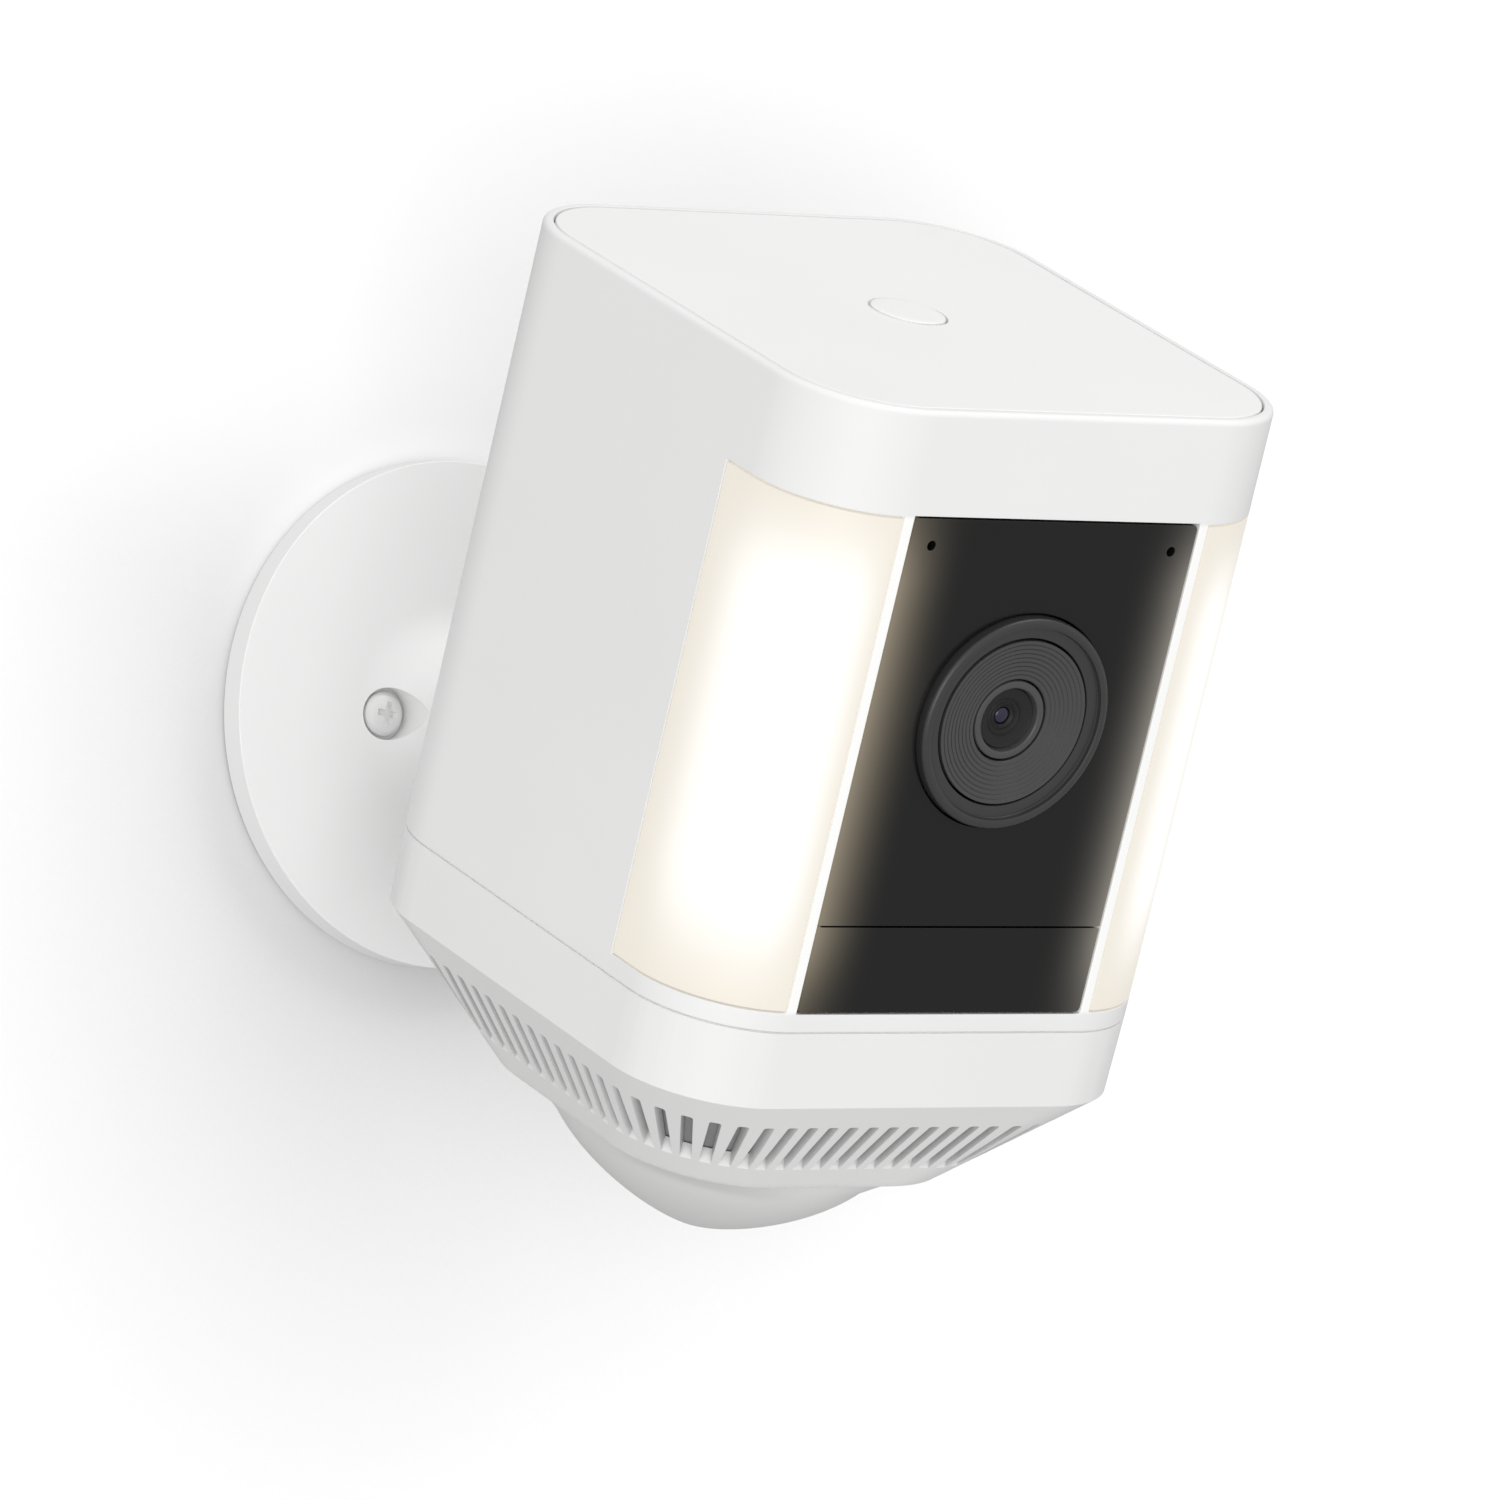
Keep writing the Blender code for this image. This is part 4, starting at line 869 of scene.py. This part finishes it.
# ---- bottom cover ------------------------------------------------------------------------------------------
def walk(dims, w):
    """Point and outward direction at distance W round an outline from the middle of its front."""
    a, b, r = dims
    bend = pi * r / 2
    quarter = a + b - 2 * r + bend
    k, u = int(w // quarter) % 4, w % quarter
    if k % 2:
        u = quarter - u
    if u <= a - r:
        x, y, nx, ny = u, -b, 0.0, -1.0
    elif u < a - r + bend:
        f = (u - a + r) / r
        x, y, nx, ny = a - r + r * sin(f), r - b - r * cos(f), sin(f), -cos(f)
    else:
        x, y, nx, ny = a, u - quarter, 1.0, 0.0
    sx, sy = (1 if k < 2 else -1), (1 if k in (0, 3) else -1)
    return x * sx, y * sy, nx * sx, ny * sy


def quarter_of(dims):
    return dims[0] + dims[1] - (2 - pi / 2) * dims[2]


def cover():
    def dims(s):
        return tuple(p + (q - p) * s for p, q in zip(BAND, CONE))

    def mids(s):
        """Distances round the cone of the middle of every slot at height s."""
        q, k = quarter_of(dims(s)), 1.0 - 0.2 * (s - SLOT_TOP)
        first, last = PITCH_X * 5 * k, q - PITCH_Y * 5.5 * k
        half = [PITCH_X * i * k for i in range(1, 6)]
        half += [first + (last - first) * i / 8 for i in range(1, 8)]
        half += [q - PITCH_Y * (i + 0.5) * k for i in range(5, -1, -1)]
        got = [0.0] + half + [2 * q - w for w in reversed(half)]
        return got + [w + 2 * q for w in got]

    U = (-1.0, -0.965, -0.87, -0.72, -0.526, 0.0, 0.526, 0.72, 0.87, 0.965, 1.0)
    cols = [(k, u) for k in range(74) for u in U + (None,)]    # slot number, place across it
    cols = [(k, u, k if u is not None else -1) for k, u in cols]
    n = len(cols)
    slant = hypot(BAND[0] - CONE[0], BAND_Z - CONE_Z)
    sr = SLOT_R / slant

    def way(s):
        m = mids(s)
        m.append(m[0] + 4 * quarter_of(dims(s)))
        return [m[k] + u * SLOT_W / 2 if u is not None else (m[k] + m[k + 1]) / 2 for k, u, _ in cols]

    bm = bmesh.new()

    def vert(i, s, d=0.0):
        x, y, nx, ny = walk(dims(s), way_at(s)[i])
        return bm.verts.new((x - d * nx, y - d * ny, BAND_Z + (CONE_Z - BAND_Z) * s))

    known = {}

    def way_at(s):
        if s not in known:
            known[s] = way(s)
        return known[s]

    levels = [0.0, 0.04, 0.12, SLOT_TOP - 0.04, "arc", 0.36, 0.48, SLOT_THROUGH, 0.68, SLOT_RAMP, 0.85, 0.95, 1.0]
    A, E = levels.index("arc"), levels.index(SLOT_RAMP)

    def inner_s(s):
        top = SLOT_TOP + sr
        if s <= top:
            return s
        if s <= SLOT_RAMP:
            return top + (s - top) * (SLOT_THROUGH - top) / (SLOT_RAMP - top)
        return SLOT_THROUGH + (s - SLOT_RAMP) * (0.84 - SLOT_THROUGH) / (1 - SLOT_RAMP)

    def level(j, d, squeeze):
        out = []
        for i, (_, u, _) in enumerate(cols):
            s = levels[j]
            if s == "arc":
                t = 1.0 if u is None else max(0.0, (abs(u) - 0.526) / 0.474)
                s = SLOT_TOP + sr * (1 - sqrt(max(0.0, 1 - t * t)))
            if squeeze:
                s = inner_s(s)
            if A < j < E and u is not None and abs(u) < 0.999:
                out.append(None)
            else:
                out.append(vert(i, s, d))
        return out

    outer = [level(j, 0.0, False) for j in range(len(levels))]
    inner = [level(j, COVER_T, True) for j in range(len(levels))]
    for grid in (outer, inner):
        for j in range(len(levels) - 1):
            for i in range(n):
                i2 = (i + 1) % n
                if A <= j < E and cols[i][2] >= 0 and cols[i][2] == cols[i2][2]:
                    continue
                bm.faces.new((grid[j][i], grid[j][i2], grid[j + 1][i2], grid[j + 1][i]))
    for i in range(n):                            # the walls of each slot
        i2 = (i + 1) % n
        if cols[i][2] < 0 or cols[i][2] != cols[i2][2]:
            continue
        bm.faces.new((outer[A][i], outer[A][i2], inner[A][i2], inner[A][i]))
        bm.faces.new((outer[E][i], outer[E][i2], inner[E][i2], inner[E][i]))
    for i in range(n):
        if cols[i][1] is not None and abs(cols[i][1]) > 0.999:
            for j in range(A, E):
                bm.faces.new((outer[j][i], outer[j + 1][i], inner[j + 1][i], inner[j][i]))

    def flat_row(d3, z):
        scale = quarter_of(d3) / quarter_of(dims(0.0))
        return [bm.verts.new((*walk(d3, w * scale)[:2], z)) for w in way_at(0.0)]

    full = (HALF_W, HALF_D, CORNER_R)
    band = [flat_row(full, Z_SEAM - 0.24), flat_row(tuple(p + (q - p) * 0.5 for p, q in zip(full, BAND)), -34.0)]
    lip_o = flat_row(tuple(v - 0.03 for v in full), Z_SEAM - 0.13)
    lip_o2 = flat_row(tuple(v - 0.12 for v in full), Z_SEAM - 0.08)
    lip_i = flat_row(tuple(v - COVER_T for v in full), Z_SEAM - 0.15)
    tongue = [flat_row(tuple(v - d for v in full), Z_SEAM + z)
              for d, z in ((1.5, -0.15), (1.42, 0.04), (0.36, 0.04), (0.3, -0.08))]
    opening = tuple(v + GAP for v in DOME)
    skin(bm, [inner[0], lip_i] + tongue + [lip_o2, lip_o] + band + [outer[0]])
    nose = [flat_row(tuple(v - 0.25 for v in CONE), CONE_Z - 0.12), flat_row(tuple(v + 0.15 for v in opening), CONE_Z - 0.12),
            flat_row(opening, CONE_Z + 0.05), flat_row(opening, CONE_Z + 1.8)]
    skin(bm, [outer[-1]] + nose + [inner[-1]])
    return bm


def liner():
    rows = []
    for share, d in ((0.08, 3.0), (0.12, 2.75), (0.45, 2.75), (0.74, 2.75), (0.75, 3.1), (0.74, 3.45),
                     (0.45, 3.45), (0.12, 3.45)):
        a, b, r = (p + (q - p) * share - d for p, q in zip(BAND, CONE))
        rows.append((rounded(a, b, r, 22), BAND_Z + (CONE_Z - BAND_Z) * share))
    bm = bmesh.new()
    rings = [[bm.verts.new((x, y, z)) for x, y in loop] for loop, z in rows]
    skin(bm, rings + [rings[0]])
    return bm


build("vent_liner", liner(), M["liner"], "cover", ["grille_screen"], sharp=30)

SCREW_Z = -34.0
tool = lathe(bmesh.new(), [(0, 40), (1.6, 40), (1.6, 45.9), (2.9, 45.9), (2.9, 50), (0, 50)], 48, (0, 0, SCREW_Z))
bm = carve(cover(), tool)
build("cover_grille", bm, M["cover"], "cover", ["bottom_cover"], sharp=30)


# ---- motion dome -------------------------------------------------------------------------------------------
def dome():
    def loops(shrink, z0, depth, steps):
        out = []
        for k in range(steps):
            u = 1 - (1 - k / steps) ** 1.6
            s = (1 - u ** DOME_POWER) ** (1 / DOME_FALL)
            a, b, r = (v - shrink for v in DOME)
            blend = min(1.0, u * 4.5)
            loop = []
            for i in range(144):                   # even steps, the straights too
                x, y = walk((a, b, r), quarter_of((a, b, r)) * (i + 0.5) / 36)[:2]
                q = Vector((x / a, y / b))
                q = q.lerp(q.normalized(), blend)
                loop.append((q.x * a * s, q.y * b * s, z0 - depth * u))
            out.append(loop)
        return out

    outer, inner = loops(0.0, CONE_Z, DOME_DEPTH, 36), loops(1.6, CONE_Z, DOME_DEPTH - 1.7, 24)
    bm = bmesh.new()
    chain = list(reversed(inner)) + [[(x, y, CONE_Z + 3.0) for x, y, z in inner[0]],
                                     [(x, y, CONE_Z + 3.0) for x, y, z in outer[0]]] + outer
    rows = [[bm.verts.new(p) for p in loop] for loop in chain]
    skin(bm, rows)
    for row, z in ((rows[0], CONE_Z - DOME_DEPTH + 1.7), (rows[-1], CONE_Z - DOME_DEPTH)):
        tip = bm.verts.new((0, 0, z))
        for i in range(len(row)):
            bm.faces.new((row[i], row[(i + 1) % len(row)], tip))
    return bm


build("dome_lens", dome(), M["dome"], "cover", ["motion_dome"])

# ---- security screw -----------------------------------------------------------------------------------------
def threaded(profile_head, r, y_from, y_to, pitch, depth, n=36, tip=1.2):
    """A screw along +y: a turned head, then a true helical thread on its shank."""
    length = y_to - y_from
    rows = int(length / pitch * 8)
    bm = bmesh.new()
    rings = []
    for rr, t in profile_head:
        if rr < 1e-6:
            rings.append([bm.verts.new((0, t, 0))])
        else:
            rings.append([bm.verts.new((rr * cos(2 * pi * i / n), t, rr * sin(2 * pi * i / n))) for i in range(n)])
    for k in range(rows + 1):
        y = y_from + length * k / rows
        ring = []
        for i in range(n):
            ph = (y / pitch - i / n) % 1.0
            bite = max(0.0, 1 - abs(ph - 0.5) * 5.0)
            fade = min(1.0, (y - y_from) / pitch) * min(1.0, (y_to - y) / (tip * 2))
            taper = min(1.0, 0.25 + 0.75 * (y_to + tip - y) / (tip * 2.5))
            rr = (r - depth) * taper + depth * bite * fade
            ring.append(bm.verts.new((rr * cos(2 * pi * i / n), y, rr * sin(2 * pi * i / n))))
        rings.append(ring)
    rings.append([bm.verts.new((0, y_to + tip, 0))])
    for lo, hi in zip(rings, rings[1:]):
        for i in range(n):
            j = (i + 1) % n
            if len(lo) == 1:
                bm.faces.new((lo[0], hi[j], hi[i]))
            elif len(hi) == 1:
                bm.faces.new((lo[i], lo[j], hi[0]))
            else:
                bm.faces.new((lo[i], lo[j], hi[j], hi[i]))
    return bm


def cross_tool(size, width, y_face, depth):
    """A tapered cross, for a driver recess sunk from y_face toward +y."""
    parts = []
    for turn in (0, 1):
        bm = bmesh.new()
        rows = []
        for y, f in ((y_face - 1.0, 1.12), (y_face + depth, 0.45)):
            hx, hz = size * f, width * (0.75 + 0.25 * f)
            pts = [(-hx, -hz), (hx, -hz), (hx, hz), (-hx, hz)]
            rows.append([bm.verts.new((x, y, z) if not turn else (z, y, x)) for x, z in pts])
        skin(bm, rows)
        bm.faces.new(rows[0])
        bm.faces.new(rows[1])
        parts.append(bm)
    return parts


# security screw: a pan head in the back of the cover, six-lobe recess
def lobe_tool(r, y0, y1, n=60):
    bm = bmesh.new()
    rows = [[bm.verts.new((r * (1 + 0.16 * cos(6 * 2 * pi * i / n)) * cos(2 * pi * i / n), y,
                           r * (1 + 0.16 * cos(6 * 2 * pi * i / n)) * sin(2 * pi * i / n))) for i in range(n)]
            for y in (y0, y1)]
    skin(bm, rows)
    bm.faces.new(rows[0])
    bm.faces.new(rows[1])
    return bm


head_profile = fillet([(0, 46.95), (2.0, 46.95), (2.6, 46.6), (2.6, 46.2), (1.3, 46.2)], [0, 0.1, 0.1, 0.05, 0], 3, False)
mirror = Matrix.Scale(-1, 4, (0, 1, 0))
bm = threaded([(r, -t) for r, t in head_profile], 1.3, -46.1, -39.3, 0.7, 0.22, 32, 0.9)
bmesh.ops.transform(bm, matrix=mirror, verts=bm.verts)
bmesh.ops.translate(bm, vec=(0, 0, SCREW_Z), verts=bm.verts)
tool = lobe_tool(1.05, 46.15, 47.6)
bmesh.ops.translate(tool, vec=(0, 0, SCREW_Z), verts=tool.verts)
build("cover_screw_head", carve(bm, tool), M["steel"], "cover_screw", ["security_screw"], sharp=35)

# ---- wall mount -----------------------------------------------------------------------------------------------
flare = arc(FLARE_R0, DISC_T + FLARE_R, FLARE_R, 270, 180, 16)
BOSS_R = FLARE_R0 - FLARE_R
profile = ([(38.6, 0), (DISC_R - 0.15, 0)] + [(DISC_R, 0.15), (DISC_R, DISC_T - 0.2)]
           + arc(DISC_R - 0.2, DISC_T - 0.2, 0.2, 18, 90, 4) + flare
           + [(BOSS_R, BOSS_TOP - 0.6)] + arc(BOSS_R - 0.6, BOSS_TOP - 0.6, 0.6, 22, 90, 3)
           + [(BORE_R + 0.3, BOSS_TOP), (BORE_R, BOSS_TOP - 0.3), (BORE_R, 7.0), (FOOT_R + GAP, 7.0),
              (FOOT_R + GAP, 1.8), (38.6, 1.8)])
bm = lathe(bmesh.new(), [(r, -h) for r, h in profile], 160)
tools = []
for turn in WALL_SCREWS:
    x, z = SCREW_CIRCLE * cos(turn), SCREW_CIRCLE * sin(turn)
    tools.append(lathe(bmesh.new(), [(0, 1.0), (2.3, 1.0), (2.3, -3.3), (COUNTERBORE_R, -3.3), (COUNTERBORE_R, -26.0),
                                     (0, -26.0)], 64, (x, 0, z)))
bm = carve(bm, *tools)
build("mount_disc", bm, M["mount"], "wall_mount", ["mount_base"], place=HERE, sharp=30)

holes = [circle(SCREW_CIRCLE * cos(turn), SCREW_CIRCLE * sin(turn), 2.3, 32) for turn in WALL_SCREWS]
bm = plate(circle(0, 0, 38.3, 128), holes + [circle(27 * cos(a), 27 * sin(a), 3.2, 32) for a in
                                             (radians(45), radians(135), radians(225), radians(315))],
           -1.5, 0.0, 0.12)
build("back_plate", bm, M["steel"], "wall_mount", ["wall_plate"], place=HERE)

head_profile = fillet([(0, -5.6), (1.7, -5.5), (2.9, -5.05), (SCREW_HEAD_R, -4.3), (SCREW_HEAD_R, -3.6),
                       (SCREW_SHANK_R, -3.6)], [0, 0.8, 0.5, 0.2, 0.15, 0], 3, False)
for k, side in enumerate(("left", "upper", "lower")):
    bm = threaded(head_profile, SCREW_SHANK_R, -3.4, 18.6, 1.5, 0.5, 36, 2.3)
    tools = cross_tool(2.9, 0.56, -5.5, 0.7)
    bm = carve(bm, *tools)
    spin = Matrix.Rotation(radians((10, 30, 55)[k]), 4, "Y")
    bmesh.ops.transform(bm, matrix=spin, verts=bm.verts)
    bmesh.ops.translate(bm, vec=(SCREW_CIRCLE * cos(WALL_SCREWS[k]), 0, SCREW_CIRCLE * sin(WALL_SCREWS[k])), verts=bm.verts)
    build(side + "_wall_screw", bm, M["screw"], "wall_mount", ["wall_screw_" + side],
          place=HERE, sharp=35)

# ---- ball stem, washer, socket ---------------------------------------------------------------------------------
joint_a = degrees(atan2(STUD_R, sqrt(BALL_R ** 2 - STUD_R ** 2)))
shaft = [(0, 1.9), (FOOT_R, 1.9), (FOOT_R, 4.2), (SHAFT_R, 4.2), (SHAFT_R, BALL_H - 26.0), (STUD_R, BALL_H - 18.0),
         (STUD_R, BALL_H - sqrt(BALL_R ** 2 - STUD_R ** 2))]
shaft = fillet(shaft, [0, 0.3, 0.3, 0.4, 1.5, 3.0, 0], 5, False)
ball = []
for i in range(1, 33):
    a = radians(joint_a + (180 - joint_a) * i / 32)
    ball.append((BALL_R * sin(a) if i < 32 else 0, BALL_H - BALL_R * cos(a)))
bm = lathe(bmesh.new(), [(r, -h) for r, h in shaft + ball], 96)
build("ball_and_stem", bm, M["ball"], "stem", ["ball_stem"], place=HERE, sharp=35)
washer = fillet([(BORE_R, -4.5), (FOOT_R, -4.5), (FOOT_R, -6.7), (BORE_R, -6.7)], 0.35, 3)
build("washer_ring", lathe(bmesh.new(), washer, 72), M["rubber"], "stem", ["stem_washer"], place=HERE)

cup = ([(0, -CUP_OUT)] + arc(0, 0, CUP_OUT, -80, -10, 10) + [(CUP_OUT, NOSE), (10.9, NOSE)]
       + [(CUP_FRONT * sin(radians(a)), -CUP_FRONT * cos(radians(a))) for a in (112, 106, 100, 94, 88, 82, 76)]
       + [(CUP_BACK * sin(radians(a)), -CUP_BACK * cos(radians(a))) for a in (74, 65, 56, 47, 38, 28, 19, 9)]
       + [(0, -CUP_BACK)])
bm = lathe(bmesh.new(), cup, 96)
flange = plate([(x, z + 2.2) for x, z in rounded(19.0, 16.4, 5.0, 8)],
               [circle(0, 0, 11.0, 72)] + [circle(x, z, 1.5, 24) for x, z in
                                           ((16.0, 6.0), (-16.0, 6.0), (15.5, -11.0), (-15.5, -11.0))],
               -4.0, -1.5, 0.15)
bm = carve(bm, flange, how="UNION")
build("ball_socket", bm, M["dark"], "camera", ["socket_cup"], place=AT_BALL, sharp=35)

collar = [(12.0, 3.35), (16.9, 3.35), (17.5, 3.95), (17.5, 6.0), (16.7, 6.8), (13.4, 6.8), (12.0, 5.6)]
bm = lathe(bmesh.new(), fillet(collar, 0.22, 3), 384, shape=lambda ang, r, t:
           1.0 - 0.024 * max(0.0, cos(16 * ang)) ** 3 if r > 15.5 else 1.0)
build("grip_collar", bm, M["dark"], "collar", ["locking_collar"], place=AT_BALL)

pad = arc(0, 0, 9.4, 270, 297.2, 8) + arc(0, 0, 8.8, 297.2, 270, 8)
pad[0], pad[-1] = (0, -9.4), (0, -8.8)
build("brake_pad", lathe(bmesh.new(), pad, 72), M["rubber"], "pad", ["friction_pad"], place=AT_BALL)

# ---- battery, tab and sleeve: seen with the bottom cover off -----------------------------------------------------
outline = [(x, y + BAT_Y) for x, y in rounded(BAT_HX, BAT_HY, 2.4, 8)]
bm = plate(outline, [], BAT_Z0, BAT_Z1, 0.5, plane="xy", nseg=3)
recess = block((-8.3, -2.0, BAT_Z0 - 5), (8.3, BAT_Y - BAT_HY + 4.2, -8.0), 0.4)
ribs = [block((-20.0, BAT_Y + BAT_HY - 0.45, z), (20.0, BAT_Y + BAT_HY + 1.0, z + 0.9), 0.0) for z in
        (-18, -14.5, -11, 30, 33.5, 37)]
bm = carve(bm, recess, *ribs)
build("battery_case_body", bm, M["battery"], "battery", ["battery_pack"], sharp=30)

# ---- finer finish for the carried-over CAD nodes ----------------------------------------------------------------
CARRIED = {
    "button_board": ("board", 0.12), "left_reflector": ("reflector", 0), "right_reflector": ("reflector", 0),
    "left_light_board": ("board", 0.1), "right_light_board": ("board", 0.1), "lens_barrel": ("dark", 0.25),
    "image_sensor_board": ("board", 0.12), "inner_chassis": ("dark", 0.2), "main_board": ("board", 0.12),
    "camera_ribbon": ("ribbon", 0), "wifi_antenna": ("gold", 0.08), "speaker": ("dark", 0.3),
    "battery_sleeve": ("sleeve", 0.3), "contact_block": ("gold", 0.4), "cover_seal": ("rubber", 0.2),
    "battery_tab": ("tab", 0.3), "motion_board": ("board", 0.15), "motion_sensor": ("steel", 0.2),
    "socket_screw_1": ("steel", 0.1), "socket_screw_2": ("steel", 0.1), "socket_screw_3": ("steel", 0.1),
    "socket_screw_4": ("steel", 0.1),
}
for node, (key, ease) in CARRIED.items():
    ob = NODES[node]
    ob.data.materials.clear()
    ob.data.materials.append(M[key])
    if ease:
        b = ob.modifiers.new("eased", "BEVEL")
        b.width, b.segments, b.limit_method, b.angle_limit = ease * MM, 2, "ANGLE", radians(40)
        b.use_clamp_overlap = True

# ---- stage: wall behind the mount, floor, light, camera ------------------------------------------------------------
def stage_plane(name, corners, rgb, lift):
    me = bpy.data.meshes.new(name)
    me.from_pydata(corners, [], [(0, 1, 2, 3)])
    ob = bpy.data.objects.new(name, me)
    bpy.context.scene.collection.objects.link(ob)
    n = Nodes(name)
    # painted shadow: base colour darkens toward 0.31 of its tone near the object by ambient occlusion, and stays clear
    # higher up
    painted_shadow_ao = n.new("ShaderNodeAmbientOcclusion")
    painted_shadow_ao.samples = 12
    painted_shadow_ao.inputs["Distance"].default_value = 0.115
    pale = n.mix(n.noise(3.0, 2.0), tuple(c * 0.995 for c in rgb), rgb)
    shade = n.math("MAXIMUM", painted_shadow_ao.outputs["AO"], n.ramp(n.dot((0, 0, 1)), -0.05, 0.06, 0.0, 0.9, True))
    n.set(Base_Color=n.mix(shade, tuple(c * 0.31 for c in rgb), pale), Roughness=0.9)
    n.bsdf.inputs["Specular IOR Level"].default_value = 0.1
    n.bsdf.inputs["Emission Color"].default_value = (1, 1, 1, 1)
    n.bsdf.inputs["Emission Strength"].default_value = lift
    clear = n.new("ShaderNodeBsdfTransparent")
    geo = n.new("ShaderNodeNewGeometry")
    path = n.new("ShaderNodeLightPath")
    seen = n.math("MULTIPLY", path.outputs["Is Camera Ray"],
                  n.math("SUBTRACT", 1.0, geo.outputs["Backfacing"]))
    blend = n.new("ShaderNodeMixShader")
    n.link(seen, blend.inputs[0])
    n.link(clear.outputs[0], blend.inputs[1])
    n.link(n.bsdf.outputs[0], blend.inputs[2])
    n.link(blend.outputs[0], n.tree.nodes["Material Output"].inputs["Surface"])
    me.materials.append(n.mat)
    return ob


stage_plane("wall", [(-4, 0.0006, -0.3), (4, 0.0006, -0.3), (4, 0.0006, 4), (-4, 0.0006, 4)], (0.96, 0.96, 0.96), 0.09)
stage_plane("floor", [(-4, -4, -0.3), (4, -4, -0.3), (4, 4, -0.3), (-4, 4, -0.3)], (0.95, 0.95, 0.95), 0.10)

world = bpy.data.worlds.new("studio")
bpy.context.scene.world = world
world.use_nodes = True
wt = world.node_tree
bg = wt.nodes["Background"]
coord = wt.nodes.new("ShaderNodeTexCoord")
dotp = wt.nodes.new("ShaderNodeVectorMath")
dotp.operation = "DOT_PRODUCT"
dotp.inputs[1].default_value = (-0.11, -0.20, 0.15)
wt.links.new(coord.outputs["Generated"], dotp.inputs[0])
add = wt.nodes.new("ShaderNodeMath")
add.operation = "ADD"
add.inputs[1].default_value = 0.665
wt.links.new(dotp.outputs["Value"], add.inputs[0])
low = wt.nodes.new("ShaderNodeMath")
low.operation = "MAXIMUM"
low.inputs[1].default_value = 0.12
wt.links.new(add.outputs[0], low.inputs[0])
eye = wt.nodes.new("ShaderNodeLightPath")          # seen directly it is plain white
plain = wt.nodes.new("ShaderNodeMath")
plain.operation = "MAXIMUM"
wt.links.new(low.outputs[0], plain.inputs[0])
wt.links.new(eye.outputs["Is Camera Ray"], plain.inputs[1])
wt.links.new(plain.outputs[0], bg.inputs["Strength"])
bg.inputs["Color"].default_value = (1, 1, 1, 1)


def softbox(name, at_, aim, size, watts):
    data = bpy.data.lights.new(name, "AREA")
    data.shape = "RECTANGLE"
    data.size = data.size_y = size
    data.energy = watts
    ob = bpy.data.objects.new(name, data)
    bpy.context.scene.collection.objects.link(ob)
    ob.location = at_
    ob.rotation_euler = (Vector(aim) - Vector(at_)).to_track_quat("-Z", "Y").to_euler()
    return ob


softbox("key_top", (0.95, -0.95, 1.9), (0, -0.08, 0), 1.3, 12.0)
softbox("key_front", (-1.15, -1.75, -0.35), (0, -0.08, 0), 1.2, 13.0)

cam_data = bpy.data.cameras.new("camera")
cam_data.sensor_width = 36.0
cam_data.lens = 287.447
cam_data.clip_start, cam_data.clip_end = 0.05, 50.0
cam = bpy.data.objects.new("camera", cam_data)
bpy.context.scene.collection.objects.link(cam)
cam.matrix_world = Matrix(((0.808473, -0.010287, -0.588443, -1.088004),
                           (-0.588476, -0.000309, -0.808514, -1.580709),
                           (0.008135, 0.999947, -0.006303, -0.017311), (0, 0, 0, 1)))
bpy.context.scene.camera = cam
bpy.context.scene.view_settings.view_transform = "Standard"
